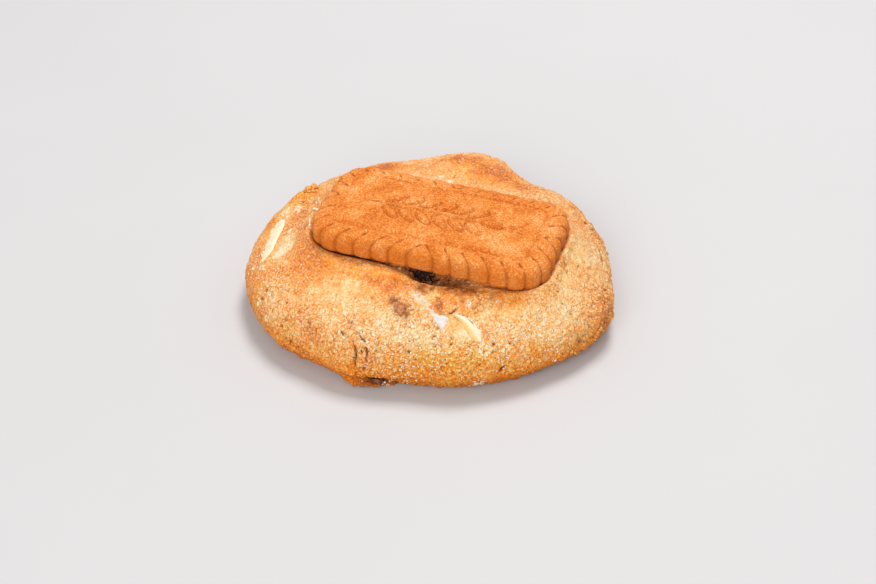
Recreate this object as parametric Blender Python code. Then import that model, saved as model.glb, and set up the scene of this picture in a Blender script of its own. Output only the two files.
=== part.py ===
"""A thick soft-baked speculoos cookie with a caramelised spice biscuit pressed into its top.

Run with: blender --background --python part.py
The origin is the middle of the flat underside, +Z is up, +X runs along the cookie's longer way and
the biscuit's front edge faces -Y. Sizes below are millimetres and degrees; MM turns them into metres.
"""

import math

import bmesh
import bpy
from mathutils import Matrix, Vector

MM = 0.001

# Cookie: a low dome that spread in the oven. Its plan is an ellipse with a few swells and dents.
COOKIE_HALF_LENGTH = 47.0
COOKIE_HALF_WIDTH = 46.0
COOKIE_HEIGHT = 22.0
BELLY_HEIGHT = 6.0
DOME_POWER = 2.3
BASE_TUCK = 0.085
BASE_EDGE_RADIUS = 0.6
EDGE_SWELLS = (
    # (direction from +X, how far it pushes the edge out, half-width of the stretch in degrees)
    (14.5, -0.9, 9.0),
    (42.5, -3.9, 12.0),
    (68.5, 3.0, 14.5),
    (108.0, -1.8, 28.0),
    (188.0, 1.0, 21.5),
    (229.0, -1.0, 9.0),
    (260.5, -1.6, 11.5),
    (315.5, 4.1, 35.0),
    (329.5, 2.4, 10.0),
)
DOUGH_LUMPS = (
    # (x, y, z of the middle, radius, how far the dough stands out there)
    (15.5, 31.5, 17.0, 11.0, 1.1),
    (-4.0, 35.0, 16.4, 3.5, -1.3),
    (3.5, 36.5, 16.2, 4.0, -0.9),
    (24.0, 34.0, 14.0, 4.5, -0.9),
    (-27.6, 26.4, 16.7, 1.5, -1.2),
    (-30.3, 24.0, 16.6, 2.2, 1.1),
    (-14.0, 32.0, 16.0, 8.0, 0.5),
    (-34.0, 18.5, 15.5, 4.5, 1.1),
    (-32.0, 22.0, 16.0, 3.5, 0.6),
    (-36.5, -28.0, 4.0, 8.0, 1.0),
    (36.0, -33.0, 5.0, 8.0, 1.0),
    (44.5, -24.5, 11.0, 5.0, 0.8),
    (5.3, -32.4, 18.4, 2.4, 1.5),
    (-22.0, -30.0, 15.0, 10.0, 0.5),
)

# A thin flap of base crust that squeezed out at the front, with a small hollow above it.
BASE_LIP_DIRECTION = 248.0
BASE_LIP_HALF_WIDTH = 8.0
BASE_LIP_REACH = 2.7
BASE_LIP_THICKNESS = 1.9

# Spice biscuit: a rounded rectangle with a lobed edge, ridges over its rounded rim and a raised panel.
BISCUIT_LENGTH = 63.0
BISCUIT_WIDTH = 32.5
BISCUIT_THICKNESS = 6.5
BISCUIT_CORNER_RADIUS = 8.5
BISCUIT_CENTRE = (3.9, -7.7, 24.4)
BISCUIT_TILT = (2.0, 2.5, -21.0)
FOOT_INSET = 0.7
FOOT_HEIGHT = 0.9
LOBE_DEPTH = 0.7
LOBE_POWER = 0.5
WIDE_LOBE = 6.7
NARROW_LOBES_PER_HALF = 17
POINTS_PER_LOBE = 4
RIM_WIDTH = 4.6
RIM_HEIGHT = 2.9
RIM_SQUARENESS = 2.3
RIM_TURNS = (0, 20, 45, 62, 78, 90)
RIDGE_REACH_ON_SIDES = 4.1
RIDGE_REACH_ON_ENDS = 4.9
RIDGE_SLANT = 3.0
PANEL_INSET = 5.5
PANEL_STEP = 0.25
PANEL_SLOPE = 0.9
FACE_RINGS = (0.03, 0.08, 0.16, 0.6, 0.95)

# A plain ear of corn along the panel: a stalk with pairs of slanted grains and one at its tip.
EAR_START = -12.5
EAR_GRAIN_PAIRS = 6
EAR_GRAIN_PITCH = 4.4
EAR_GRAIN_LENGTH = 5.2
EAR_GRAIN_WIDTH = 2.2
EAR_GRAIN_ANGLE = 38.0
EAR_GRAIN_OFFSET = 3.0
EAR_STALK_LENGTH = 27.0
EAR_STALK_WIDTH = 0.9
EAR_TIP_GAP = 3.1
EAR_RELIEF = 0.8

# Where the biscuit sits, the dough has taken the shape of its underside, but for some hollows.
SEAT_GAP = 0.3
SEAT_FADE = 5.0
HOLLOWS = (
    # (middle and half-size in the biscuit's plane, how deep): under its edge, and in front of that
    ((1.4, -15.0), (3.8, 2.5), 4.6),
    ((-4.0, -15.8), (3.2, 1.0), 1.2),
    ((8.5, -16.0), (7.0, 2.6), 2.0),
)

# The baked-in pieces lie loose in pockets, which for the chunks are cut on up through the skin.
POCKET_GAP = 0.3
POCKET_RISE = 4.0
CHIP_POCKET_GAP = 0.4
CHUNK_BEVEL = 0.5
BAR_TAPER = 0.3
WEDGE_RADIUS = 2.9
WEDGE_DEPTH = 2.8
WEDGE_TAPER = 0.85

# How finely the dough's skin is divided.
DOUGH_DIRECTIONS = 96
DOME_RINGS = 18
TUCK_RINGS = 5

COLOURS = {
    # linear colour and roughness
    "cookie": ((0.83, 0.45, 0.17), 0.75),
    "biscuit": ((0.72, 0.26, 0.06), 0.7),
    "white_chocolate": ((0.93, 0.84, 0.62), 0.4),
    "caramel": ((0.42, 0.2, 0.08), 0.5),
}


def clear_scene():
    for scene_object in list(bpy.data.objects):
        bpy.data.objects.remove(scene_object, do_unlink=True)


def make_material(name):
    colour, roughness = COLOURS[name]
    material = bpy.data.materials.new(name)
    material.use_nodes = True
    shader = material.node_tree.nodes["Principled BSDF"]
    shader.inputs["Base Color"].default_value = (*colour, 1.0)
    shader.inputs["Roughness"].default_value = roughness
    shader.inputs["Metallic"].default_value = 0.0
    return material


def add_object(name, shape, material, smooth=True):
    """Turns a bmesh drawn in millimetres into an object in metres."""
    bmesh.ops.recalc_face_normals(shape, faces=shape.faces)
    bmesh.ops.scale(shape, vec=(MM, MM, MM), verts=shape.verts)
    mesh = bpy.data.meshes.new(name)
    shape.to_mesh(mesh)
    shape.free()
    if smooth:
        mesh.shade_smooth()
    mesh.materials.append(material)
    made = bpy.data.objects.new(name, mesh)
    bpy.context.scene.collection.objects.link(made)
    return made


def bridge_rings(shape, rings):
    """Joins closed rings of vertices, each as long as the next, with quads."""
    for lower, upper in zip(rings, rings[1:]):
        count = len(lower)
        for k in range(count):
            after = (k + 1) % count
            shape.faces.new((lower[k], lower[after], upper[after], upper[k]))


def fan(shape, ring, tip):
    for k, corner in enumerate(ring):
        shape.faces.new((corner, ring[(k + 1) % len(ring)], tip))


def bell(distance, width):
    return math.exp(-((distance / width) ** 2))


def plateau(distance, width):
    """Like bell, but flat in the middle and steeper at its sides."""
    return math.exp(-((distance / width) ** 4))


# ---- the biscuit's own frame: middle of its thickness, +X along its length, +Z out of its face ----


def biscuit_pose():
    pitch, roll, yaw = (math.radians(angle) for angle in BISCUIT_TILT)
    turn = Matrix.Rotation(yaw, 4, "Z") @ Matrix.Rotation(pitch, 4, "X") @ Matrix.Rotation(roll, 4, "Y")
    return Matrix.Translation(BISCUIT_CENTRE) @ turn


def inside_edge(x, y):
    """How far a point of the biscuit's face is inside its rounded rectangle; negative outside."""
    beyond_x = abs(x) - (BISCUIT_LENGTH / 2 - BISCUIT_CORNER_RADIUS)
    beyond_y = abs(y) - (BISCUIT_WIDTH / 2 - BISCUIT_CORNER_RADIUS)
    outside = math.hypot(max(beyond_x, 0.0), max(beyond_y, 0.0))
    return BISCUIT_CORNER_RADIUS - outside - min(max(beyond_x, beyond_y), 0.0)


def edge_path(travelled):
    """Point and outward direction after going a distance round the rounded rectangle.

    The way round starts at the middle of the front edge and runs towards +X.
    """
    straight_x = BISCUIT_LENGTH / 2 - BISCUIT_CORNER_RADIUS
    straight_y = BISCUIT_WIDTH / 2 - BISCUIT_CORNER_RADIUS
    quarter = math.pi / 2 * BISCUIT_CORNER_RADIUS
    half_way = 2 * straight_x + 2 * straight_y + 2 * quarter
    turned = int(travelled // half_way) % 2
    rest = travelled % half_way
    legs = (straight_x, quarter, 2 * straight_y, quarter, straight_x)
    starts = (Vector((0, -1)), Vector((0, -1)), Vector((1, 0)), Vector((1, 0)), Vector((0, 1)))
    corners = (
        Vector((0.0, -straight_y)),
        Vector((straight_x, -straight_y)),
        Vector((straight_x, -straight_y)),
        Vector((straight_x, straight_y)),
        Vector((straight_x, straight_y)),
    )
    for leg, outward, corner in zip(legs, starts, corners):
        if rest <= leg:
            break
        rest -= leg
    along = Vector((-outward.y, outward.x))
    if leg == quarter:
        bend = rest / BISCUIT_CORNER_RADIUS
        outward = outward * math.cos(bend) + along * math.sin(bend)
        point = corner + outward * BISCUIT_CORNER_RADIUS
    else:
        point = corner + outward * BISCUIT_CORNER_RADIUS + along * rest
    return (-point, -outward) if turned else (point, outward)


def lobe_edges():
    """Half the way round the biscuit, and the length of each narrow lobe on it."""
    straight = 2 * (BISCUIT_LENGTH + BISCUIT_WIDTH - 4 * BISCUIT_CORNER_RADIUS)
    half_way = (straight + 2 * math.pi * BISCUIT_CORNER_RADIUS) / 2
    return half_way, (half_way - WIDE_LOBE) / NARROW_LOBES_PER_HALF


def lobe_grid():
    """Distances round the edge, some for each lobe. The middle of each long edge has a wide lobe."""
    half_way, narrow_lobe = lobe_edges()
    distances = []
    for half in range(2):
        edge = half * half_way - WIDE_LOBE / 2
        for size in [WIDE_LOBE] + [narrow_lobe] * NARROW_LOBES_PER_HALF:
            for step in range(POINTS_PER_LOBE):
                distances.append((edge + size * step / POINTS_PER_LOBE) % (2 * half_way))
            edge += size
    return distances


def lobe_bulge(travelled):
    """0 in the groove between two lobes and 1 on the lobe's middle."""
    half_way, narrow_lobe = lobe_edges()
    gone = (travelled + WIDE_LOBE / 2) % half_way
    through = gone / WIDE_LOBE if gone < WIDE_LOBE else (gone - WIDE_LOBE) / narrow_lobe
    return max(math.sin(math.pi * (through % 1.0)), 0.0) ** LOBE_POWER


def lean(travelled):
    """How much the ridges lean along the way round: away from each side's middle, and not at corners."""
    half_way, _ = lobe_edges()
    rest = travelled % half_way
    if rest > half_way / 2:
        return -lean(half_way - rest)
    turned = (rest - BISCUIT_LENGTH / 2 + BISCUIT_CORNER_RADIUS) / (math.pi / 2 * BISCUIT_CORNER_RADIUS)
    return 1 - 2 * min(max(turned, 0.0), 1.0)


def groove_depth(travelled, outward, inset):
    """How deep the groove between two ridges is, at a distance in from the edge."""
    reach = RIDGE_REACH_ON_SIDES + (RIDGE_REACH_ON_ENDS - RIDGE_REACH_ON_SIDES) * abs(outward.x)
    if inset > reach:
        return 0.0
    return LOBE_DEPTH * (1 - lobe_bulge(travelled + lean(travelled) * RIDGE_SLANT * inset / reach))


def build_biscuit(material):
    """Rings round the edge: up the wall, over the rounded rim with its ridges, then in over the face."""
    half = BISCUIT_THICKNESS / 2
    rim_top = half - PANEL_STEP
    spine_reach = (BISCUIT_LENGTH - BISCUIT_WIDTH) / 2
    grid = lobe_grid()
    shape = bmesh.new()

    def lobed_ring(inset, height, turn=0.0):
        """A ring of the wall or rim. Its lobes stand out level at turn 0 and upwards at turn 90."""
        level, rise = math.cos(math.radians(turn)), math.sin(math.radians(turn))
        ring = []
        for travelled in grid:
            point, outward = edge_path(travelled)
            depth = groove_depth(travelled, outward, max(inset, 0.0))
            point = point - outward * (inset + depth * level)
            ring.append(shape.verts.new((point.x, point.y, height - depth * rise)))
        return ring

    def face_ring(share):
        """A ring on the face: share 0 is at its rim and 1 on the line along its middle."""
        ring = []
        for travelled in grid:
            point, outward = edge_path(travelled)
            rim = point - outward * RIM_WIDTH
            spine = Vector((min(max(point.x, -spine_reach), spine_reach), 0.0))
            place = rim.lerp(spine, share)
            inside = inside_edge(place.x, place.y)
            panel = min(max((inside - PANEL_INSET) / PANEL_SLOPE, 0.0), 1.0)
            height = rim_top + PANEL_STEP * panel - groove_depth(travelled, outward, inside)
            ring.append(shape.verts.new((place.x, place.y, height)))
        return ring

    rings = [lobed_ring(FOOT_INSET, -half), lobed_ring(0.0, FOOT_HEIGHT - half)]
    for turn in RIM_TURNS:
        across, up = math.cos(math.radians(turn)), math.sin(math.radians(turn))
        inset = RIM_WIDTH * (1 - across ** (2 / RIM_SQUARENESS))
        height = rim_top - RIM_HEIGHT * (1 - up ** (2 / RIM_SQUARENESS))
        rings.append(lobed_ring(inset, height, turn))
    rings += [face_ring(share) for share in FACE_RINGS]
    bridge_rings(shape, rings)
    # The two long sides face each other across the middle line, so the last slot closes with a strip.
    for ring in (rings[0], rings[-1]):
        close_across(shape, ring)
    biscuit = add_object("speculoos_biscuit", shape, material)
    biscuit.matrix_world = metres(biscuit_pose())
    combine(biscuit, build_ear(material), "UNION")
    return biscuit


def build_ear(material):
    """The ear of corn as half-sunk rounded grains, clear of each other, on a stalk."""
    shape = bmesh.new()

    def add_grain(x, y, angle, length, width):
        size = Matrix.Diagonal((length / 2, width / 2, EAR_RELIEF, 1.0))
        place = Matrix.Translation((x, y, BISCUIT_THICKNESS / 2)) @ Matrix.Rotation(angle, 4, "Z") @ size
        bmesh.ops.create_uvsphere(shape, u_segments=10, v_segments=6, radius=1.0, matrix=place)

    for k in range(EAR_GRAIN_PAIRS):
        x = EAR_START + k * EAR_GRAIN_PITCH
        for side in (-1, 1):
            angle = side * math.radians(EAR_GRAIN_ANGLE)
            add_grain(x, side * EAR_GRAIN_OFFSET, angle, EAR_GRAIN_LENGTH, EAR_GRAIN_WIDTH)
    tip = EAR_START + EAR_GRAIN_PAIRS * EAR_GRAIN_PITCH
    add_grain(tip, 0.0, 0.0, EAR_GRAIN_LENGTH, EAR_GRAIN_WIDTH)
    stalk_end = tip - EAR_TIP_GAP
    add_grain(stalk_end - EAR_STALK_LENGTH / 2, 0.0, 0.0, EAR_STALK_LENGTH, EAR_STALK_WIDTH)
    ear = add_object("ear_relief", shape, material)
    ear.matrix_world = metres(biscuit_pose())
    return ear


def close_across(shape, ring):
    """Fills a ring that mirrors front to back with quads from each front point to its twin."""
    count = len(ring)
    start = min(range(count), key=lambda k: ring[k].co.x)
    order = [ring[(start + k) % count] for k in range(count)]
    shape.faces.new((order[0], order[1], order[-1]))
    for k in range(1, count // 2 - 1):
        shape.faces.new((order[k], order[k + 1], order[count - k - 1], order[count - k]))
    shape.faces.new((order[count // 2 - 1], order[count // 2], order[count // 2 + 1]))


def metres(matrix):
    scaled = matrix.copy()
    scaled.translation = matrix.translation * MM
    return scaled


# ---- the dough ----


def edge_radius(direction):
    """Radius of the cookie's plan in one direction, in degrees from +X."""
    angle = math.radians(direction)
    a, b = COOKIE_HALF_LENGTH, COOKIE_HALF_WIDTH
    radius = a * b / math.hypot(b * math.cos(angle), a * math.sin(angle))
    for middle, swell, half_width in EDGE_SWELLS:
        turn = (direction - middle + 180) % 360 - 180
        radius += swell * bell(turn, half_width)
    return radius


def dome_point(direction, slope):
    """A point of the plain dome, from its top at slope 0 to its belly at slope 90."""
    share = math.sin(math.radians(slope)) ** (2 / DOME_POWER)
    height = max(math.cos(math.radians(slope)), 0.0) ** (2 / DOME_POWER)
    radius = edge_radius(direction) * share
    angle = math.radians(direction)
    z = BELLY_HEIGHT + (COOKIE_HEIGHT - BELLY_HEIGHT) * height
    return Vector((radius * math.cos(angle), radius * math.sin(angle), z))


def tuck_point(direction, height):
    """A point of the wall between the belly and the base, which tucks in towards its foot."""
    share = 1 - BASE_TUCK * (1 - height / BELLY_HEIGHT) ** 2
    radius = edge_radius(direction) * share
    turn = (direction - BASE_LIP_DIRECTION + 180) % 360 - 180
    radius += BASE_LIP_REACH * plateau(turn, BASE_LIP_HALF_WIDTH) * plateau(height, BASE_LIP_THICKNESS)
    angle = math.radians(direction)
    return Vector((radius * math.cos(angle), radius * math.sin(angle), height))


def outward_of(point):
    """Roughly the skin's normal: level below the belly, turning up over the dome."""
    rise = max(point.z - BELLY_HEIGHT, 0.0) / (COOKIE_HEIGHT - BELLY_HEIGHT) ** 2
    return Vector((point.x / COOKIE_HALF_LENGTH**2, point.y / COOKIE_HALF_WIDTH**2, rise)).normalized()


def lumped(point):
    push = sum(height * bell((point - Vector((x, y, z))).length, size) for x, y, z, size, height in DOUGH_LUMPS)
    return point + outward_of(point) * push


def seated(point, pose):
    """Moves a point of the dome to the biscuit's underside where the biscuit covers it."""
    local = pose.inverted() @ point
    outside = max(-inside_edge(local.x, local.y), 0.0)
    covered = bell(outside, SEAT_FADE)
    normal = pose.to_3x3() @ Vector((0, 0, 1))
    middle = pose @ Vector((0, 0, -BISCUIT_THICKNESS / 2))
    tilt = normal.x * (point.x - middle.x) + normal.y * (point.y - middle.y)
    seat = middle.z - tilt / normal.z - SEAT_GAP
    sunk = 0.0
    for middle, half_size, depth in HOLLOWS:
        aside = math.hypot((local.x - middle[0]) / half_size[0], (local.y - middle[1]) / half_size[1])
        sunk += depth * bell(aside, 1.0)
    return Vector((point.x, point.y, point.z + (seat - point.z) * covered - sunk))


def build_dough(material):
    pose = biscuit_pose()
    directions = [360 * k / DOUGH_DIRECTIONS for k in range(DOUGH_DIRECTIONS)]
    shape = bmesh.new()
    rings = []
    for level in range(1, DOME_RINGS + 1):
        slope = 90 * level / DOME_RINGS
        points = [seated(lumped(dome_point(direction, slope)), pose) for direction in directions]
        rings.append([shape.verts.new(point) for point in points])
    for level in range(1, TUCK_RINGS + 1):
        height = BELLY_HEIGHT + (BASE_EDGE_RADIUS - BELLY_HEIGHT) * level / TUCK_RINGS
        points = [lumped(tuck_point(direction, height)) for direction in directions]
        rings.append([shape.verts.new(point) for point in points])
    base = []
    for direction in directions:
        point = lumped(tuck_point(direction, 0.0))
        inward = point.normalized() * BASE_EDGE_RADIUS
        base.append(shape.verts.new((point.x - inward.x, point.y - inward.y, 0.0)))
    rings.append(base)
    bridge_rings(shape, rings)
    fan(shape, rings[0], shape.verts.new(seated(Vector((0, 0, COOKIE_HEIGHT)), pose)))
    fan(shape, base, shape.verts.new((0, 0, 0)))
    return add_object("cookie", shape, material)


def combine(target, helper, operation):
    modifier = target.modifiers.new(helper.name, "BOOLEAN")
    modifier.operation = operation
    modifier.solver = "EXACT"
    modifier.object = helper
    helper.hide_render = True
    helper.display_type = "WIRE"


# ---- pieces baked into the dough ----


def facing(middle, along):
    """Axes of a piece whose +X runs along the given way and whose +Z points out of the dough."""
    outward = outward_of(Vector(middle))
    across = outward.cross(Vector(along)).normalized()
    forward = across.cross(outward)
    turn = Matrix((forward, across, outward)).transposed().to_4x4()
    return Matrix.Translation(middle) @ turn


def block(size, lift=0.0):
    """A bar that narrows a little towards +X."""
    shape = bmesh.new()
    bmesh.ops.create_cube(shape, size=1.0)
    bmesh.ops.scale(shape, vec=size, verts=shape.verts)
    bmesh.ops.translate(shape, vec=(0, 0, lift), verts=shape.verts)
    for corner in shape.verts:
        corner.co.y *= 1 - BAR_TAPER * corner.co.x / size[0]
    return shape


def wedge(radius, depth, lift=0.0):
    """A three-sided piece, its point towards +X."""
    shape = bmesh.new()
    place = Matrix.Translation((0, 0, lift)) @ Matrix.Rotation(-math.pi / 2, 4, "Z")
    narrow = WEDGE_TAPER * radius
    bmesh.ops.create_cone(
        shape, cap_ends=True, segments=3, radius1=narrow, radius2=radius, depth=depth, matrix=place
    )
    return shape


def chip(half_size):
    """A small worn piece, rounded all over."""
    shape = bmesh.new()
    bmesh.ops.create_icosphere(shape, subdivisions=2, radius=1.0)
    bmesh.ops.scale(shape, vec=half_size, verts=shape.verts)
    return shape


def place_in_dough(dough, name, drawn, pocket, pose, material):
    """Adds a piece and cuts its slightly larger pocket out of the dough."""
    piece = add_object(name, drawn, material)
    piece.matrix_world = metres(pose)
    cutter = add_object(name + "_pocket", pocket, material)
    cutter.matrix_world = metres(pose)
    combine(dough, cutter, "DIFFERENCE")
    return piece


def soften(piece):
    modifier = piece.modifiers.new("worn corners", "BEVEL")
    modifier.width = CHUNK_BEVEL * MM
    modifier.segments = 2


def grown(size, extra_depth=0.0):
    return (size[0] + 2 * POCKET_GAP, size[1] + 2 * POCKET_GAP, size[2] + 2 * POCKET_GAP + extra_depth)


def build_white_chunks(dough, material):
    """Chunks of white chocolate: a bar on the left shoulder, one at the front, one in the crack."""
    bars = (
        ("white_chunk_left", (-40.2, 1.3, 14.7), (-4.0, -14.2, -2.0), (14.5, 3.8, 3.4)),
        ("white_chunk_front", (10.7, -38.8, 15.2), (5.5, -6.3, -4.2), (9.5, 2.8, 3.2)),
    )
    for name, middle, along, size in bars:
        pocket = block(grown(size, POCKET_RISE), POCKET_RISE / 2)
        soften(place_in_dough(dough, name, block(size), pocket, facing(middle, along), material))
    corner = wedge(WEDGE_RADIUS, WEDGE_DEPTH)
    pocket_depth = WEDGE_DEPTH + 2 * POCKET_GAP + POCKET_RISE
    pocket = wedge(WEDGE_RADIUS + 2 * POCKET_GAP, pocket_depth, POCKET_RISE / 2)
    pose = facing((3.0, -36.2, 16.4), (0.0, -1.0, -0.5))
    soften(place_in_dough(dough, "white_chunk_crack", corner, pocket, pose, material))


def build_caramel_chips(dough, material):
    """Two dark bits: one level with the top's skin, one in the hollow over the base lip."""
    chips = (
        ("caramel_chip_top", (-7.0, -32.8, 17.0), (1.9, -3.6, -1.3), (2.2, 1.5, 1.3)),
        ("caramel_chip_base", (-13.2, -41.6, 2.2), (1.0, -0.3, 0.0), (1.7, 0.9, 0.9)),
    )
    for name, middle, along, half_size in chips:
        pocket = chip([half + CHIP_POCKET_GAP for half in half_size])
        place_in_dough(dough, name, chip(half_size), pocket, facing(middle, along), material)


def main():
    clear_scene()
    dough = build_dough(make_material("cookie"))
    build_biscuit(make_material("biscuit"))
    build_white_chunks(dough, make_material("white_chocolate"))
    build_caramel_chips(dough, make_material("caramel"))


main()
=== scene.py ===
"""The look of a soft-baked speculoos cookie with a spice biscuit on top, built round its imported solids.

Sizes are millimetres and degrees unless a name says otherwise; MM turns them into metres. PX names hold
places in the photograph's own 876 x 584 frame, which the camera's rays carry on to the dough.
"""

import math

import bmesh
import bpy
import numpy as np
from mathutils import Matrix, Vector, kdtree, noise
from mathutils.bvhtree import BVHTree


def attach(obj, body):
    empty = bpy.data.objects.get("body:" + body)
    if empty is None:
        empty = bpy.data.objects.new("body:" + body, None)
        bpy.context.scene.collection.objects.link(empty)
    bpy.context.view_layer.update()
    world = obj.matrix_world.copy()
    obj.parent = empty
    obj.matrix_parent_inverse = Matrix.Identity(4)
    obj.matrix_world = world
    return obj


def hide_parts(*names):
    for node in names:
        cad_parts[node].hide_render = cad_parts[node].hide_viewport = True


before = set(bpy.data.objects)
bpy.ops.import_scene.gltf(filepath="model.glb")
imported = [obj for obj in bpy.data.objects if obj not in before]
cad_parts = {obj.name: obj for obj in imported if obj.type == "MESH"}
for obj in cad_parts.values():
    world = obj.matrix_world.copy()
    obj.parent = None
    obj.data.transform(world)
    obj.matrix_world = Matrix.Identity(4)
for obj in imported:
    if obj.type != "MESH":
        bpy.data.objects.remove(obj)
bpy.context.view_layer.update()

MM = 0.001

# ---- camera: where the photograph was taken from ----
PHOTO_SIZE = (876, 584)
CAMERA_LENS = 60.0
CAMERA_SENSOR = 36.0
CAMERA_ELEVATION = 37.1
CAMERA_ROLL = -2.5
CAMERA_DISTANCE = 370.0
CAMERA_TARGET = np.array((2.55, -18.48, 11.05))

# ---- dough: the same shape as its solid, drawn finer ----
COOKIE_HALF_LENGTH = 47.0
COOKIE_HALF_WIDTH = 46.0
COOKIE_HEIGHT = 22.0
BELLY_HEIGHT = 6.0
DOME_POWER = 2.3
BASE_TUCK = 0.085
BASE_EDGE_RADIUS = 0.6
EDGE_SWELLS = (
    # (direction from +X, how far it pushes the edge out, half-width of the stretch in degrees)
    (14.5, -0.9, 9.0), (42.5, -3.9, 12.0), (68.5, 3.0, 14.5), (108.0, -1.8, 28.0), (188.0, 1.0, 21.5),
    (229.0, -1.0, 9.0), (260.5, -1.6, 11.5), (315.5, 4.1, 35.0), (329.5, 2.4, 10.0),
)
DOUGH_LUMPS = (
    # (x, y, z of the middle, radius, how far the dough stands out there)
    (15.5, 31.5, 17.0, 11.0, 1.1), (-4.0, 35.0, 16.4, 3.5, -1.3), (3.5, 36.5, 16.2, 4.0, -0.9),
    (24.0, 34.0, 14.0, 4.5, -0.9), (-27.6, 26.4, 16.7, 1.5, -1.2), (-30.3, 24.0, 16.6, 2.2, 1.1),
    (-14.0, 32.0, 16.0, 8.0, 0.5), (-34.0, 18.5, 15.5, 4.5, 1.1), (-32.0, 22.0, 16.0, 3.5, 0.6),
    (-36.5, -28.0, 4.0, 8.0, 1.0), (36.0, -33.0, 5.0, 8.0, 1.0), (44.5, -24.5, 11.0, 5.0, 0.8),
    (5.3, -32.4, 18.4, 2.4, 1.5), (-22.0, -30.0, 15.0, 10.0, 0.5),
)
BASE_LIP_DIRECTION = 248.0
BASE_LIP_HALF_WIDTH = 8.0
BASE_LIP_REACH = 2.7
BASE_LIP_THICKNESS = 1.9
LIP_CAVITY = ((-13.4, -40.8, 2.7), (2.8, 0.8), 1.8)

GRID_SIDE = 300
PROFILE_STEPS = 400
BASE_RING_SHARES = (0.985, 0.93, 0.8, 0.55, 0.25)

# ---- biscuit ----
BISCUIT_LENGTH = 63.0
BISCUIT_WIDTH = 32.5
BISCUIT_THICKNESS = 6.5
BISCUIT_CORNER_RADIUS = 8.5
BISCUIT_CENTRE = (3.9, -7.7, 24.4)
BISCUIT_TILT = (2.0, 2.5, -21.0)
LOBE_DEPTH = 0.7
WIDE_LOBE = 6.7
LOBE_POWER = 0.5
NARROW_LOBES_PER_HALF = 17
LOBE_UNEVENNESS = (0.35, 9.0)
RIM_WIDTH = 4.6
RIM_HEIGHT = 2.9
RIM_SQUARENESS = 2.3
RIM_TURNS = (3, 89)
RIDGE_REACH_ON_SIDES = 4.1
RIDGE_REACH_ON_ENDS = 4.9
RIDGE_SLANT = 3.0
GROOVE_END_DEPTH = 0.36
# Shares of a groove's run: where it has grown shallow, its pressed end and that end's width, where it stops.
# The pressed end lies where the valley between two lobes is this deep.
GROOVE_SHALLOW = 0.6
GROOVE_END = (0.76, 0.2)
GROOVE_STOP = (1.06, 0.94)
GROOVE_VALLEY = (0.4, 0.8)
PANEL_INSET = 5.5
PANEL_STEP = 0.25
PANEL_SLOPE = 0.9
PANEL_LINE_DEPTH = 0.5
PANEL_LINE_WIDTH = 0.45
# Painted shade along the panel line: how much, and how wide.
PANEL_LINE_PAINTED_SHADE = 0.26
PANEL_LINE_SHADE_WIDTH = 0.5
FOOT_FILLET = 1.3
FOOT_TURNS = (0, 22, 45, 68)
UNDERSIDE_SHARES = (0.985, 0.6, 0.2)
FACE_SHARES = (0.01, 0.985)
BISCUIT_AROUND = 1104
BISCUIT_WALL_RINGS = 9
BISCUIT_RIM_RINGS = 26
BISCUIT_FACE_RINGS = 48

EAR_START = -12.5
EAR_GRAIN_PAIRS = 6
EAR_GRAIN_PITCH = 4.4
EAR_GRAIN_SIZE = (5.2, 2.2)
EAR_GRAIN_ANGLE = 38.0
EAR_GRAIN_OFFSET = 3.0
EAR_STALK_SIZE = (27.0, 0.9)
EAR_RELIEF = 0.8
EAR_STALK_GAP = 0.6
EAR_BEARD_GAP = 0.4
EAR_BEARD_TURNS = (-14.0, 0.0, 14.0)
EAR_BEARD_SIZE = (6.0, 0.5)
EAR_BEARD_RELIEF = 0.25
# The moat round each grain: its depth as a share of the relief, how far out it lies and its half-width.
EAR_MOAT = (0.45, 1.15, 0.16)
# Painted shade in the moats, as a share of their depth.
MOAT_PAINTED_SHADE = 1.3

# Where the biscuit sits, the dough has taken the shape of its underside, but for some hollows.
SEAT_OVERLAP = 0.12
SEAT_FADE = 5.0
HOLLOWS = (
    # (middle and half-size in the biscuit's plane, how deep): under its edge, and in front of that
    ((1.4, -15.0), (3.8, 2.5), 4.6),
    ((-4.0, -15.8), (3.2, 1.0), 1.2),
    ((8.5, -16.0), (7.0, 2.6), 2.0),
)
BERM_HEIGHT = 1.3
BERM_OUT = 1.1
BERM_WIDTH = 1.1
BERM_FROM_X = (20.0, 29.0)

# ---- relief: (height or amount, size of its features, octaves, seed) ----
CRUST_GRAIN = (0.16, 1.3, 2, 3)
CRUST_SWELL = (0.35, 10.0, 3, 1)
CRUST_LUMPS = (0.2, 3.4, 2, 2)
COARSE_DRIFT = (0.15, 9.0, 2, 9)
TOAST_DRIFT = (0.1, 11.0, 3, 5)
TOAST_MOTTLE = (0.13, 3.4, 3, 6)
SOCKET_WANDER = (0.15, 1.1, 2, 7)
BISCUIT_GRAIN = (0.05, 0.7, 2, 21)
BISCUIT_SWELL = (0.12, 5.0, 3, 22)
# Crumbly relief: (height, size of a crumb, seed).
CRUST_CRUMBLE = (0.2, 1.9, 8)
ROUGH_CRUMBLE = (1.0, 2.4, 4)
CRUMBLE_LEVEL = 0.6
CRUMBLE_STEEPNESS = 2.2
CRUST_SMOOTHEST = 0.55
# Rougher towards the foot: (amount, height where it starts, height where it is full).
ROUGH_FOOT = (0.35, 5.0, 2.0)

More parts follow.
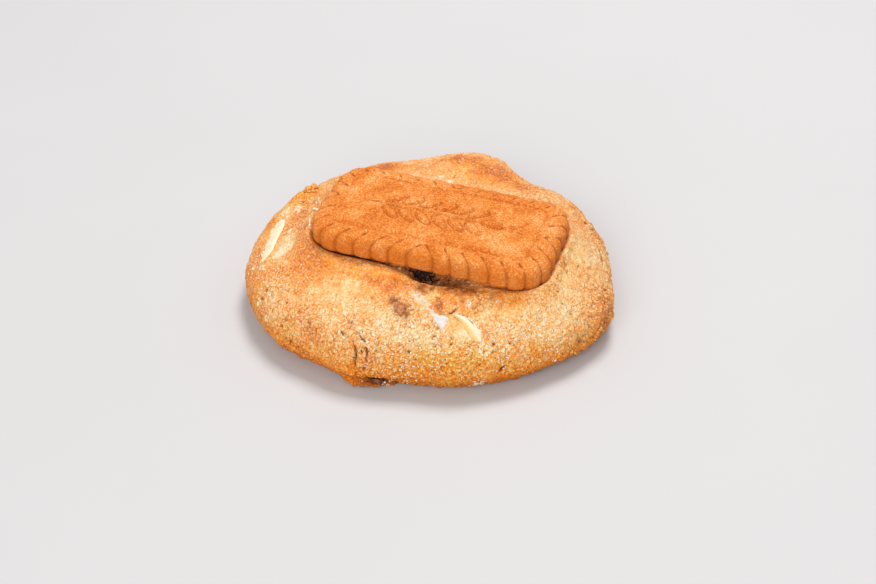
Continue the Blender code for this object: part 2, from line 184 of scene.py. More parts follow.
# ---- what the photograph shows on the crust ----
# A dictionary of marks has, for each radius in millimetres, places in pixels: (x, y, strength).
COOKIE_MIDDLE_PX = (430, 275)
SPOT_STEP = 0.01
MARK_REACH = 2.2
RAY_START = 12.0
LINE_STEP = 0.12
LINE_WANDER = 0.22
LINE_WANDER_SIZE = 0.8
LINE_WANDER_SEED = 1
LINE_END_WIDTH = 0.6
LINE_END_STRENGTH = 0.35
CRACKS_PX = (
    # (half-width, depth, places it runs through)
    (0.24, 0.7, ((339, 330), (343, 335), (348, 337))), (0.22, 0.6, ((353, 331), (357, 333))),
    (0.26, 0.8, ((359, 335), (362, 339), (366, 342))), (0.3, 0.9, ((353, 344), (355, 349), (354, 353))),
    (0.34, 0.9, ((356, 353), (355, 361))), (0.28, 0.8, ((354, 360), (355, 368))),
    (0.26, 0.7, ((360, 350), (362, 354))), (0.3, 0.9, ((365, 346), (367, 353), (366, 358))),
    (0.28, 0.8, ((365, 357), (367, 363))), (0.28, 0.8, ((366, 365), (362, 372))),
    (0.42, 1.0, ((500, 373), (504, 369), (507, 367))), (0.28, 0.6, ((514, 369), (518, 371))),
    (0.28, 0.9, ((447, 314), (450, 313), (455, 311), (458, 308))),
    (0.24, 0.5, ((447, 167), (450, 170), (452, 173))), (0.24, 0.5, ((456, 173), (453, 178))),
    (0.25, 0.4, ((543, 192), (549, 200), (556, 206))), (0.35, 0.7, ((598, 243), (602, 254), (604, 266))),
    (0.3, 0.5, ((311, 318), (309, 325), (306, 332))), (0.25, 0.45, ((352, 271), (348, 274), (345, 274))),
    (0.25, 0.45, ((512, 344), (516, 347), (517, 351))), (0.25, 0.5, ((449, 382), (454, 380), (458, 382))),
    (0.28, 0.6, ((436, 329), (440, 327))), (0.28, 0.6, ((431, 337), (437, 335))),
)
HOLES_PX = {
    # pits, with their depth as the strength
    0.45: ((451, 344, 0.6),),
    0.5: (
        (290, 342, 0.7), (266, 290, 0.7), (281, 326, 0.7), (580, 341, 0.7), (473, 326, 0.8),
        (494, 344, 0.7),
    ),
    0.6: ((302, 202, 0.9), (569, 220, 0.8), (606, 289, 0.8)),
    0.8: ((318, 208, 1.3), (586, 223, 1.0)),
}
TOASTED_PX = {
    # how much browner than the rest; below zero is paler
    1.6: ((440, 305, 0.5),),
    2.0: ((522, 300, 0.1), (479, 158, 0.3)),
    2.4: ((500, 298, 0.1), (279, 253, -0.25)),
    2.5: ((372, 280, 0.22), (410, 287, 0.2)),
    2.6: ((455, 291, 0.2), (478, 293, 0.1), (302, 214, 0.12), (286, 212, -0.25)),
    3.0: (
        (392, 285, 0.28), (313, 328, 0.15), (508, 172, 0.2), (297, 220, 0.16), (300, 212, 0.15),
        (486, 303, -0.15),
    ),
    3.2: ((288, 240, -0.3),),
    3.5: ((603, 330, 0.22), (457, 158, 0.42), (520, 186, 0.2), (272, 222, 0.22)),
    4.0: (
        (306, 245, 0.25), (278, 268, 0.1), (535, 352, 0.12), (345, 178, 0.2), (530, 190, 0.15),
        (550, 198, -0.1),
    ),
    4.5: ((252, 262, 0.2), (250, 290, 0.15), (606, 306, 0.3), (428, 166, 0.12)),
    5.0: (
        (303, 228, 0.3), (322, 272, 0.1), (345, 337, -0.12), (350, 350, 0.08), (430, 352, -0.2),
        (500, 177, 0.24), (385, 167, 0.45),
    ),
    5.5: ((346, 290, -0.08),),
    6.0: (
        (305, 266, 0.22), (330, 310, -0.06), (300, 355, 0.12), (415, 338, -0.18), (470, 350, -0.14),
        (480, 167, 0.34),
    ),
    7.0: ((380, 325, -0.15), (505, 320, -0.06), (540, 330, -0.16), (565, 300, -0.12)),
    8.0: ((590, 258, -0.15), (580, 225, 0.1)),
}
CREAM_PX = {
    # white chocolate that shows through the skin
    0.9: ((259, 302, 0.8), (266, 318, 0.8)),
    1.2: ((284, 237, 0.45), (449, 181, 0.8), (441, 176, 0.5)),
    1.4: ((286, 217, 0.5), (290, 230, 0.55), (276, 256, 0.45), (262, 268, 0.5), (254, 268, 0.45)),
    1.6: ((470, 386, 0.6),),
    2.0: ((289, 245, 0.6), (282, 252, 0.55), (464, 334, 0.35), (484, 350, 0.5)),
    2.2: ((287, 212, 0.45), (478, 384, 0.6)),
    2.4: ((298, 209, 0.4),),
    2.6: ((418, 298, 0.4),),
}
STAIN_AND_SHADOW_PX = {
    # browned specks under the skin, and painted shadow in the hollow under the biscuit's front edge; nearly
    # black from 1 upwards
    0.7: ((390, 264, 0.5),),
    0.8: ((398, 266, 0.8), (424, 284, 0.7)),
    0.9: ((441, 312, 0.35), (573, 209, 0.4), (387, 382, 0.8), (395, 384, 0.8)),
    1.0: ((405, 268, 1.0), (440, 303, 0.3), (437, 308, 0.35), (437, 298, 0.35), (463, 300, 0.4)),
    1.1: ((443, 293, 0.35), (451, 292, 0.35), (459, 294, 0.35)),
    1.2: ((579, 341, 0.4),),
    1.4: ((406, 315, 0.45), (411, 270, 1.1), (419, 281, 0.5)),
    1.5: ((398, 304, 0.5),),
    1.6: ((437, 280, 0.9), (472, 289, 0.4), (607, 300, 0.3), (604, 318, 0.3)),
    1.7: ((394, 301, 0.55),),
    1.8: ((417, 273, 1.3), (464, 284, 0.6), (386, 165, 0.25)),
    2.0: ((431, 277, 1.3),),
    2.2: ((402, 310, 0.6), (366, 386, 0.4)),
    2.4: ((424, 276, 1.4),),
    2.6: ((446, 283, 0.8), (456, 286, 0.7)),
}
ROUGH_PATCHES = (
    # (middle, radius, how rough)
    ((-31.0, 23.0, 16.5), 5.0, 1.3), ((45.0, 3.0, 12.0), 6.0, 0.9), ((45.5, -22.0, 11.0), 7.0, 0.8),
    ((38.0, -36.0, 5.0), 8.0, 0.6), ((2.0, 33.0, 18.0), 6.0, 0.5), ((18.0, 33.0, 17.0), 7.0, 0.45),
    ((5.3, -32.0, 18.0), 3.5, 0.4), ((13.0, -33.0, 18.5), 3.0, 0.5), ((37.0, -20.0, 19.0), 4.0, 0.5),
    ((-14.0, -42.0, 4.0), 8.0, 0.2),
)
PIT_COUNT = 500
PIT_RADIUS = 0.2
PIT_RADIUS_SPREAD = 0.28
# As shares of a pit's radius.
PIT_DEPTH = (0.6, 1.5)
PORES_PX = (
    # (middle, half-size in pixels, how many): short dark slits that slant like a slash in the photograph
    ((330, 325), (70, 35), 110), ((390, 345), (45, 28), 60), ((455, 355), (55, 22), 60),
    ((300, 290), (45, 25), 40), ((545, 315), (50, 30), 45), ((585, 260), (22, 30), 20),
)
PORE_SLANT_PX = (1.3, -2.2)
# As shares of that slant.
PORE_LENGTH = (0.3, 1.5)
PORE_WIDTH = (0.17, 0.3)
PORE_DEPTH = (0.25, 0.7)
# Creases under the biscuit's edge; along each one, a line of painted shade is laid on the dough.
EDGE_CREASES = (
    # (from and to on the way round the biscuit's edge, half-width, strength): where it lies on the dough
    (-35.0, -1.5, 0.55, 1.3),
    (6.0, 36.0, 0.5, 0.75),
    (38.0, 52.0, 0.45, 0.55),
)
EDGE_CREASE_INSET = 0.45
EDGE_CREASE_PLACES = 25
EDGE_CREASE_WANDER = 0.1
EDGE_SHADE_WIDTH = 1.7
EDGE_SHADE = 0.4
COARSE_PX = {
    # how much coarser than the rest; below zero is smoother
    2.6: ((457, 328, -0.6),),
    3.0: ((266, 240, -0.2),),
    5.0: ((600, 300, 0.25),),
    6.0: ((500, 310, -0.1), (385, 168, -0.35)),
    7.0: ((262, 300, 0.2), (312, 250, -0.25), (375, 285, -0.2), (350, 305, -0.1)),
    8.0: ((500, 350, 0.2), (545, 340, 0.15), (330, 275, -0.2)),
    9.0: (
        (300, 335, 0.25), (350, 335, 0.2), (400, 350, 0.35), (450, 360, 0.35), (540, 300, -0.15),
        (570, 250, -0.2), (480, 170, -0.15),
    ),
}
GOLD_AND_SHADE_PX = {
    # where the crust is a deeper gold, mostly low down along the front; partly painted shade there and under
    # the biscuit's front edge
    2.0: ((330, 262, 0.5), (355, 268, 0.5)),
    2.4: ((550, 362, 0.6), (575, 350, 0.5), (514, 301, 0.6), (380, 272, 0.5)),
    2.6: (
        (500, 380, 0.7), (525, 372, 0.7), (445, 291, 0.7), (466, 291, 0.7), (482, 294, 0.5),
        (498, 298, 0.5), (400, 276, 0.5),
    ),
    3.0: (
        (254, 290, 0.4), (256, 306, 0.4), (258, 320, 0.5), (345, 376, 0.8), (365, 380, 0.6),
        (400, 376, 0.8), (450, 380, 0.9), (470, 378, 0.8), (253, 300, 0.6), (250, 275, 0.5),
        (296, 198, 0.9), (312, 191, 0.9), (270, 225, 0.4),
    ),
    3.2: ((272, 336, 0.7), (425, 378, 0.9)),
    3.4: ((287, 350, 0.8), (305, 358, 0.8), (325, 366, 0.8)),
    3.5: ((304, 194, 0.9),),
    4.0: ((540, 355, 0.6), (285, 340, 0.6)),
    4.5: ((505, 368, 0.7),),
    5.0: ((395, 366, 0.6), (350, 370, 0.6), (320, 355, 0.5), (385, 168, 0.3)),
    5.5: ((425, 366, 0.8), (450, 368, 0.8), (475, 366, 0.7)),
    6.0: ((500, 180, 0.35),),
    8.0: ((478, 168, 0.35),),
}
SHADE_PX = {
    # painted shade: olive brown where the dough dips under the biscuit's edge
    1.0: ((415, 284, 0.4), (548, 287, 0.3), (566, 243, 0.5)),
    1.1: ((425, 291, 0.9), (552, 270, 0.5), (547, 280, 0.45)),
    1.2: (
        (315, 246, 0.5), (365, 276, 0.3), (380, 280, 0.35), (395, 281, 0.45), (405, 283, 0.4),
        (562, 250, 0.65), (557, 260, 0.6),
    ),
    1.3: ((432, 288, 1.0), (440, 288, 0.95), (489, 305, 0.28), (499, 306, 0.28)),
    1.4: ((320, 251, 0.7), (512, 301, 0.35)),
    1.5: ((421, 287, 1.3), (448, 289, 1.1)),
    1.6: ((456, 291, 0.8), (502, 299, 0.5)),
    1.8: ((464, 291, 1.15), (472, 292, 0.85), (482, 295, 0.6), (492, 297, 0.7)),
}
FROST_PX = {
    # greyish white bloom and crumbs
    0.6: ((402, 366, 0.6), (421, 365, 0.6)),
    0.7: ((424, 343, 0.7), (443, 362, 0.6)),
    0.8: ((443, 347, 0.6),),
    1.0: ((431, 310, 1.0), (469, 304, 0.75), (437, 341, 0.6)),
    1.1: ((426, 305, 0.9),),
    1.2: ((417, 294, 0.8), (421, 299, 0.9)),
    1.4: ((477, 303, 0.8), (485, 306, 0.58)),
    1.6: ((496, 301, 0.5),),
}
# How the crust changes towards its foot: (amount, height where it starts, height where it is full).
TOAST_AT_FOOT = (0.16, 10.0, 3.0)
# The deeper gold at the foot is partly painted shade.
GOLD_AND_SHADE_AT_FOOT = (0.95, 11.0, 3.0)
# Painted shade: the crust is darker towards its foot.
SHADE_AT_FOOT = (0.35, 6.0, 1.5)
TOAST_LEVEL = 0.47
COARSE_LEVEL = 0.42
# The underside, which the photograph doesn't show, is evenly browned and half coarse.
UNDERSIDE_LEVELS = {"toast": 0.8, "coarse": 0.5}
# The crust's relief ends where the biscuit covers it; how much it covers is 1 right under it.
COVERED = (0.985, 1.0)

# ---- soft shapes and noise ----


def bell(distance, width, power=2):
    """1 at no distance, fading out beyond the width; a higher power is flatter with steeper sides."""
    return np.exp(-((distance / width) ** power))


def smooth_step(low, high, value):
    share = np.clip((value - low) / (high - low), 0.0, 1.0)
    return share * share * (3 - 2 * share)


def graded(value, amount, start, full):
    """Nothing where the value is at its start, growing smoothly to the amount where it is full."""
    return amount * smooth_step(start, full, value)


def fractal_field(points, amount, size, octaves, seed):
    """Smooth noise of about -1 to 1 times an amount, whose largest features have the given size."""
    shift = Vector((17.3 * seed, 5.1 * seed, 11.7 * seed))
    return amount * np.array([noise.fractal(Vector(p) / size + shift, 1.0, 2.0, octaves) for p in points])


def crumble_field(points, amount, size, seed):
    """Rounded cells of the given size, which stand out in their middles and meet in cracks."""
    shift = Vector((3.7 * seed, 13.9 * seed, 7.1 * seed))
    gaps = []
    for p in points:
        distances, _ = noise.voronoi(Vector(p) / size + shift)
        gaps.append(distances[1] - distances[0])
    return amount * (np.minimum(np.array(gaps) * CRUMBLE_STEEPNESS, 1.0) - CRUMBLE_LEVEL)


# ---- camera ----


def camera_axes():
    """Right, up and backward axes of the camera, and its place."""
    elevation, roll = math.radians(CAMERA_ELEVATION), math.radians(CAMERA_ROLL)
    back = np.array((0.0, -math.cos(elevation), math.sin(elevation)))
    level_up = np.array((0.0, math.sin(elevation), math.cos(elevation)))
    level_right = np.array((1.0, 0.0, 0.0))
    right = level_right * math.cos(roll) + level_up * math.sin(roll)
    up = level_up * math.cos(roll) - level_right * math.sin(roll)
    return right, up, back, CAMERA_TARGET + back * CAMERA_DISTANCE


def pixel_ray(pixel):
    """The camera's place, and the direction in which it sees a pixel."""
    right, up, back, place = camera_axes()
    focal = CAMERA_LENS / CAMERA_SENSOR * PHOTO_SIZE[0]
    across = (pixel[0] - PHOTO_SIZE[0] / 2) / focal
    down = (pixel[1] - PHOTO_SIZE[1] / 2) / focal
    return place, right * across - up * down - back


def make_camera():
    right, up, back, place = camera_axes()
    data = bpy.data.cameras.new("camera")
    data.lens = CAMERA_LENS
    data.sensor_width = CAMERA_SENSOR
    data.clip_start, data.clip_end = 0.01, 50.0
    camera = bpy.data.objects.new("camera", data)
    turn = Matrix((right, up, back)).transposed().to_4x4()
    camera.matrix_world = Matrix.Translation(place * MM) @ turn
    bpy.context.scene.collection.objects.link(camera)
    bpy.context.scene.camera = camera


# ---- meshes ----


def make_piece(name, points, faces, material, fields=None, smooth=True):
    """A mesh object from points in millimetres, with one number for each point in each named field."""
    mesh = bpy.data.meshes.new(name)
    mesh.from_pydata((np.asarray(points) * MM).tolist(), [], [list(face) for face in faces])
    for field, values in (fields or {}).items():
        attribute = mesh.attributes.new(field, "FLOAT", "POINT")
        attribute.data.foreach_set("value", np.asarray(values, np.float32))
    mesh.update()
    if smooth:
        mesh.shade_smooth()
    mesh.materials.append(material)
    piece = bpy.data.objects.new(name, mesh)
    bpy.context.scene.collection.objects.link(piece)
    return piece


def hand_over(piece, slot, *nodes):
    """Every piece rides on the one body, and the nodes it stands for are hidden. slot is not used."""
    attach(piece, "root")
    if nodes:
        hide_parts(*nodes)


def ring_faces(rings):
    """Quads between closed rings of point numbers, each ring as long as the next."""
    faces = []
    for outer, inner in zip(rings, rings[1:]):
        faces += np.stack((outer, np.roll(outer, -1), np.roll(inner, -1), inner), axis=-1).tolist()
    return faces


def closing_strip(ring):
    """Quads across a ring that mirrors front to back; its count is a multiple of 4."""
    half = len(ring) // 2
    order = np.roll(ring, -3 * half // 2).tolist()
    faces = [(order[0], order[1], order[-1])]
    faces += [(order[k], order[k + 1], order[-k - 1], order[-k]) for k in range(1, half - 1)]
    return faces + [tuple(order[half - 1 : half + 2])]


def icosphere(subdivisions):
    """Points and faces of a ball of radius 1."""
    shape = bmesh.new()
    bmesh.ops.create_icosphere(shape, subdivisions=subdivisions, radius=1.0)
    points = np.array([tuple(vertex.co) for vertex in shape.verts])
    faces = [[vertex.index for vertex in face.verts] for face in shape.faces]
    shape.free()
    return points, faces


def into_frame(pose, points):
    back = np.array(pose.inverted())
    return points @ back[:3, :3].T + back[:3, 3]


def out_of_frame(pose, points):
    there = np.array(pose)
    return points @ there[:3, :3].T + there[:3, 3]


# ---- the dough's shape ----


def aside_from(direction, middle):
    """The turn from one direction to another, -180 to 180 degrees."""
    return (direction - middle + 180) % 360 - 180


def edge_radius(direction):
    angle = np.radians(direction)
    a, b = COOKIE_HALF_LENGTH, COOKIE_HALF_WIDTH
    radius = a * b / np.hypot(b * np.cos(angle), a * np.sin(angle))
    for middle, swell, half_width in EDGE_SWELLS:
        radius = radius + swell * bell(aside_from(direction, middle), half_width)
    return radius


def plain_dough(turn, direction):
    """Points of the plain dough. turn is 0 at the top's middle, 1 at the belly and 2 at the base's edge."""
    slope = np.radians(90 * np.minimum(turn, 1.0))
    share = np.sin(slope) ** (2 / DOME_POWER)
    rise = np.maximum(np.cos(slope), 0.0) ** (2 / DOME_POWER)
    below = np.maximum(turn - 1.0, 0.0)
    dome = BELLY_HEIGHT + (COOKIE_HEIGHT - BELLY_HEIGHT) * rise
    height = np.where(turn < 1, dome, BELLY_HEIGHT * (1 - below))
    radius = edge_radius(direction) * np.where(turn < 1, share, 1 - BASE_TUCK * below**2)
    lip = BASE_LIP_REACH * bell(aside_from(direction, BASE_LIP_DIRECTION), BASE_LIP_HALF_WIDTH, 4)
    radius = radius + np.where(turn < 1, 0.0, lip * bell(height, BASE_LIP_THICKNESS, 4))
    low = np.clip(1 - height / BASE_EDGE_RADIUS, 0.0, 1.0)
    radius = radius - BASE_EDGE_RADIUS * (1 - np.sqrt(1 - low**2))
    angle = np.radians(direction)
    return np.stack((radius * np.cos(angle), radius * np.sin(angle), height), axis=-1)


def outward_of(points):
    """Roughly the skin's normal: level below the belly, turning up over the dome."""
    rise = np.maximum(points[..., 2] - BELLY_HEIGHT, 0.0) / (COOKIE_HEIGHT - BELLY_HEIGHT) ** 2
    level = (points[..., 0] / COOKIE_HALF_LENGTH**2, points[..., 1] / COOKIE_HALF_WIDTH**2)
    outward = np.stack((*level, rise), axis=-1)
    return outward / (np.linalg.norm(outward, axis=-1, keepdims=True) + 1e-9)


def lumped(points):
    push = np.zeros(points.shape[:-1])
    for *middle, size, height in DOUGH_LUMPS:
        push += height * bell(np.linalg.norm(points - np.array(middle), axis=-1), size)
    return points + outward_of(points) * push[..., None]


def biscuit_pose():
    pitch, roll, yaw = (math.radians(angle) for angle in BISCUIT_TILT)
    turn = Matrix.Rotation(yaw, 4, "Z") @ Matrix.Rotation(pitch, 4, "X") @ Matrix.Rotation(roll, 4, "Y")
    return Matrix.Translation(BISCUIT_CENTRE) @ turn


def inside_edge(x, y):
    """How far points of the biscuit's face are inside its rounded rectangle; negative outside."""
    beyond_x = np.abs(x) - (BISCUIT_LENGTH / 2 - BISCUIT_CORNER_RADIUS)
    beyond_y = np.abs(y) - (BISCUIT_WIDTH / 2 - BISCUIT_CORNER_RADIUS)
    outside = np.hypot(np.maximum(beyond_x, 0.0), np.maximum(beyond_y, 0.0))
    return BISCUIT_CORNER_RADIUS - outside - np.minimum(np.maximum(beyond_x, beyond_y), 0.0)


def biscuit_cover(points):
    """1 under the biscuit, fading to 0 round it."""
    local = into_frame(biscuit_pose(), points)
    return bell(np.maximum(-inside_edge(local[..., 0], local[..., 1]), 0.0), SEAT_FADE)


def seated(points):
    """The dough under the biscuit has taken the shape of its underside, but for some hollows."""
    pose = np.array(biscuit_pose())
    normal = pose[:3, 2]
    middle = pose[:3, 3] - normal * BISCUIT_THICKNESS / 2
    tilt = (points[..., :2] - middle[:2]) @ normal[:2]
    seat = middle[2] - tilt / normal[2] + SEAT_OVERLAP
    moved = points.copy()
    moved[..., 2] += (seat - points[..., 2]) * biscuit_cover(points)
    local = into_frame(biscuit_pose(), points)
    for hollow, half_size, depth in HOLLOWS:
        aside = (local[..., :2] - hollow) / np.array(half_size)
        moved[..., 2] -= depth * bell(np.linalg.norm(aside, axis=-1), 1.0)
    berm = bell(inside_edge(local[..., 0], local[..., 1]) + BERM_OUT, BERM_WIDTH)
    moved[..., 2] += BERM_HEIGHT * berm * smooth_step(*BERM_FROM_X, np.abs(local[..., 0]))
    return moved


def disc_grid(side):
    """A square grid folded into a disc: each point's share of the way out, and its direction."""
    line = np.linspace(-1, 1, side + 1)
    a, b = np.meshgrid(line, line, indexing="ij")
    share = np.maximum(np.abs(a), np.abs(b))
    with np.errstate(divide="ignore", invalid="ignore"):
        mostly_x = np.where(a > 0, 45 * b / a, 180 + 45 * b / a)
        mostly_y = np.where(b > 0, 90 - 45 * a / b, 270 - 45 * a / b)
    direction = np.where(np.abs(a) >= np.abs(b), mostly_x, mostly_y)
    return share, np.nan_to_num(direction) % 360


def even_turns(share):
    """Spreads the grid's rings evenly along the dough's profile, as it is at the back."""
    turns = np.linspace(0, 2, PROFILE_STEPS)
    profile = plain_dough(turns, np.full_like(turns, 90.0))
    steps = np.linalg.norm(np.diff(profile, axis=0), axis=1)
    travelled = np.concatenate(((0.0,), np.cumsum(steps)))
    return np.interp(share * travelled[-1], travelled, turns)


def grid_numbers(side):
    return np.arange((side + 1) ** 2).reshape(side + 1, side + 1)


def grid_faces(side):
    index = grid_numbers(side)
    corners = (index[:-1, :-1], index[1:, :-1], index[1:, 1:], index[:-1, 1:])
    return np.stack(corners, axis=-1).reshape(-1, 4).tolist()


def rim_of_grid(side):
    """Numbers of the grid's border points, in order, anticlockwise from above."""
    index = grid_numbers(side)
    return np.concatenate((index[:-1, 0], index[-1, :-1], index[:0:-1, -1], index[0, :0:-1]))


class Skin:
    """The dough's surface before any fine relief, and ways to find places on it and mark them."""

    def __init__(self):
        share, direction = disc_grid(GRID_SIDE)
        surface = seated(lumped(plain_dough(even_turns(share), direction)))
        normals = np.cross(np.gradient(surface, axis=0), np.gradient(surface, axis=1))
        normals /= np.linalg.norm(normals, axis=-1, keepdims=True) + 1e-12
        self.points = surface.reshape(-1, 3)
        self.normals = normals.reshape(-1, 3)
        self.cover = biscuit_cover(self.points)
        self.bvh = BVHTree.FromPolygons(self.points.tolist(), grid_faces(GRID_SIDE))
        self.tree = kdtree.KDTree(len(self.points))
        for number, point in enumerate(self.points):
            self.tree.insert(point, number)
        self.tree.balance()

    def at_pixel(self, pixel):
        """Where the camera sees the skin through a pixel, and its normal there, or two Nones."""
        place, direction = pixel_ray(pixel)
        return self.bvh.ray_cast(Vector(place), Vector(direction))[:2]

    def spot(self, pixel):
        """Like at_pixel, but a pixel just beside the cookie gives the nearest place inwards."""
        pixel = np.array(pixel, float)
        hit, _ = self.at_pixel(pixel)
        while hit is None:
            pixel += (np.array(COOKIE_MIDDLE_PX) - pixel) * SPOT_STEP
            hit, _ = self.at_pixel(pixel)
        return hit

    def below(self, pose, x, y):
        """The skin under a point of a piece's own plane."""
        start = pose @ Vector((x, y, RAY_START))
        return self.bvh.ray_cast(start, pose.to_3x3() @ Vector((0, 0, -1)))[0]

    def mark(self, field, middle, width, strength):
        """Raises a field to a soft round spot."""
        for _, number, distance in self.tree.find_range(middle, MARK_REACH * width):
            field[number] = max(field[number], strength * math.exp(-((distance / width) ** 2)))

    def add(self, field, middle, width, strength):
        distance = np.linalg.norm(self.points - np.array(middle), axis=-1)
        field += strength * bell(distance, width)

    def paint(self, put, field, marks):
        """Puts a table of marks on a field, with mark or add."""
        for width, spots in marks.items():
            for *pixel, strength in spots:
                put(field, self.spot(pixel), width, strength)

    def line(self, field, places, width, strength, wander=LINE_WANDER):
        """Raises a field along a line that wanders a little, and is strongest in its middle."""
        places = [np.array(place) for place in places]
        lengths = [np.linalg.norm(b - a) for a, b in zip(places, places[1:])]
        total = sum(lengths)
        gone = 0.0
        for start, end, length in zip(places, places[1:], lengths):
            for k in range(int(length / LINE_STEP) + 1):
                through = (gone + k * LINE_STEP) / total
                at = start + (end - start) * min(k * LINE_STEP / length, 1.0)
                at = at + wander * np.array(noise.noise_vector(Vector(at) / LINE_WANDER_SIZE))
                fade = 1 - abs(2 * through - 1) ** 3
                here = width * (LINE_END_WIDTH + (1 - LINE_END_WIDTH) * fade)
                self.mark(field, at, here, strength * (LINE_END_STRENGTH + (1 - LINE_END_STRENGTH) * fade))
            gone += length


# ---- pieces baked into the dough ----


def facing(middle, along):
    """Axes of a piece in the dough whose +X runs along the given way and whose +Z points out of it."""
    outward = Vector(outward_of(np.array(middle)))
    across = outward.cross(Vector(along)).normalized()
    turn = Matrix((across.cross(outward), across, outward)).transposed().to_4x4()
    return Matrix.Translation(middle) @ turn


def bent_bar(line, half_widths, count=49):
    """Outline of a bar along a curved line through places, and for each of its points the line's point."""
    marks = np.linspace(0, 1, len(line))
    steps = np.linspace(0, 1, count)
    spine = np.stack([np.polyval(np.polyfit(marks, line[:, k], 3), steps) for k in (0, 1)], axis=-1)
    way = np.gradient(spine, axis=0)
    side = np.stack((-way[:, 1], way[:, 0]), axis=-1) / np.linalg.norm(way, axis=1)[:, None]
    half = np.interp(steps, marks, half_widths) * np.sqrt(1 - np.abs(2 * steps - 1) ** 6)
    outer = spine + side * half[:, None]
    inner = spine - side * half[:, None]
    return np.concatenate((outer, inner[-2:0:-1])), np.concatenate((spine, spine[-2:0:-1]))


def worn_polygon(corners, count=24, rounds=20):
    """Outline through corners that are worn round, and for each of its points the middle."""
    shares = np.arange(count) / count
    sides = [a + (b - a) * shares[:, None] for a, b in zip(corners, np.roll(corners, -1, axis=0))]
    outline = np.concatenate(sides)
    for _ in range(rounds):
        outline = (np.roll(outline, 1, axis=0) + outline + np.roll(outline, -1, axis=0)) / 3
    return outline, np.broadcast_to(outline.mean(axis=0), outline.shape)


CHUNKS = {
    # name: (middle, along, how far it stands out, how deep it goes, places, half-widths there or none)
    "white_chunk_left": (
        (-40.2, 1.3, 14.7), (-4.0, -14.2, -2.0), 0.15, 2.6,
        ((282, 219.5), (277, 229), (272, 240), (267, 251), (262, 262)),
        (1.6, 1.7, 1.7, 1.6, 1.2),
    ),
    "white_chunk_front": (
        (10.7, -38.8, 15.2), (5.5, -6.3, -4.2), 0.15, 2.4,
        ((454, 315), (462, 318), (469, 325), (475, 333), (481, 342.5)),
        (0.3, 0.9, 1.4, 1.5, 0.9),
    ),
    "white_chunk_crack": (
        (3.0, -36.2, 16.4), (0.0, -1.0, -0.5), -0.2, 2.2,
        ((430, 309), (438, 315), (447.5, 315.5), (446.5, 322), (442, 330), (435, 320)),
        (),
    ),
}
CHUNK_TOP_SHARES = (0.06, 0.25, 0.42, 0.5, 0.56, 0.62, 0.68, 0.74, 0.82, 0.92, 1.0)
CHUNK_EDGE_SINK = 0.35
# Below its edge a chunk has rings at these shares of its outline: at heights, then at shares of its depth.
CHUNK_SKIRT = ((1.05, -0.55), (1.06, -0.9))
CHUNK_TAPER = ((1.0, 0.5), (0.85, 0.85), (0.5, 1.0), (0.06, 1.0))
# Unevenness of a chunk: (height, size).
CHUNK_WOBBLE = ((0.08, 1.3), (0.04, 0.5))
# Raggedness of its outline, from two cuts through the noise: (where the cut is, size).
CHUNK_RAGGEDNESS = 0.1
RAGGED_NOISE = ((7.0, 0.9), (3.0, 0.4))
CHUNK_NEAR = 12.0
# One chunk has a slit. Its place and size are shares of the way along one side and of the way out.
SLIT_CHUNK = "white_chunk_front"
SLIT_PLACE = (0.45, 0.72)
SLIT_SIZE = (0.14, 0.1)
SLIT_DEPTH = 0.5
# That chunk's other side is under a thin skin of dough, which grows between these shares of the way out.
SKINNED_FROM = (-0.3, 0.7)
# Round a chunk's outline: (depth or strength, distance outside where it starts, distance where it is full).
SOCKET = (0.9, 0.15, -0.35)
SOCKET_CREAM = (0.8, 0.35, 0.0)
# The lip round a socket: its height, how far outside the outline it lies and its half-width.
SOCKET_LIP = (0.1, 0.55, 0.4)
CHIPS = (
    # (name, middle, along, half-size, seed)
    ("caramel_chip_top", (-7.0, -32.8, 17.2), (1.9, -3.6, -1.3), (2.2, 1.4, 0.95), 1),
    ("caramel_chip_base", (-13.2, -41.6, 2.2), (1.0, -0.3, 0.0), (1.7, 0.8, 0.8), 2),
)
# A chip's knobs: (height, pitch, the way in which the seed moves their noise).
CHIP_KNOBS = ((0.3, 1.8, (1, 0, 0)), (0.15, 4.0, (0, 1, 0)))
CHIP_FINENESS = 4


def chunk_outline(skin, name):
    """Outline and core of a chunk in its own plane, from the places where the photograph shows it."""
    middle, along, _, _, pixels, half_widths = CHUNKS[name]
    places = into_frame(facing(middle, along), np.array([skin.spot(pixel) for pixel in pixels]))[:, :2]
    outline, core = bent_bar(places, half_widths) if half_widths else worn_polygon(places)
    ragged = [sum(noise.noise(Vector((x, y, z)) / size) for z, size in RAGGED_NOISE) for x, y in outline]
    away = outline - core
    away /= np.linalg.norm(away, axis=1)[:, None] + 1e-6
    return outline + away * (CHUNK_RAGGEDNESS * np.array(ragged))[:, None], core


def outline_distance(outline, x, y):
    """Distance from points to a closed outline, negative inside it."""
    points = np.stack((x, y), axis=-1)
    nearest = np.full(len(x), np.inf)
    winding = np.zeros(len(x))
    for start, end in zip(outline, np.roll(outline, -1, axis=0)):
        side = end - start
        share = np.clip(((points - start) @ side) / (side @ side), 0.0, 1.0)
        gap = points - start - share[:, None] * side
        nearest = np.minimum(nearest, np.hypot(gap[:, 0], gap[:, 1]))
        a, b = start - points, end - points
        winding += np.arctan2(a[:, 0] * b[:, 1] - a[:, 1] * b[:, 0], (a * b).sum(axis=1))
    return np.where(np.abs(winding) > math.pi, -nearest, nearest)


def chunk_distance(skin, name):
    """For each point of the skin, how far it is outside a chunk's outline; far away it is just large."""
    middle, along = CHUNKS[name][:2]
    outline, _ = chunk_outline(skin, name)
    away = np.linalg.norm(skin.points - np.array(middle), axis=-1)
    near = np.nonzero(away < CHUNK_NEAR)[0]
    local = into_frame(facing(middle, along), skin.points[near])
    distance = np.full(len(skin.points), 99.0)
    distance[near] = outline_distance(outline, local[:, 0], local[:, 1])
    return distance


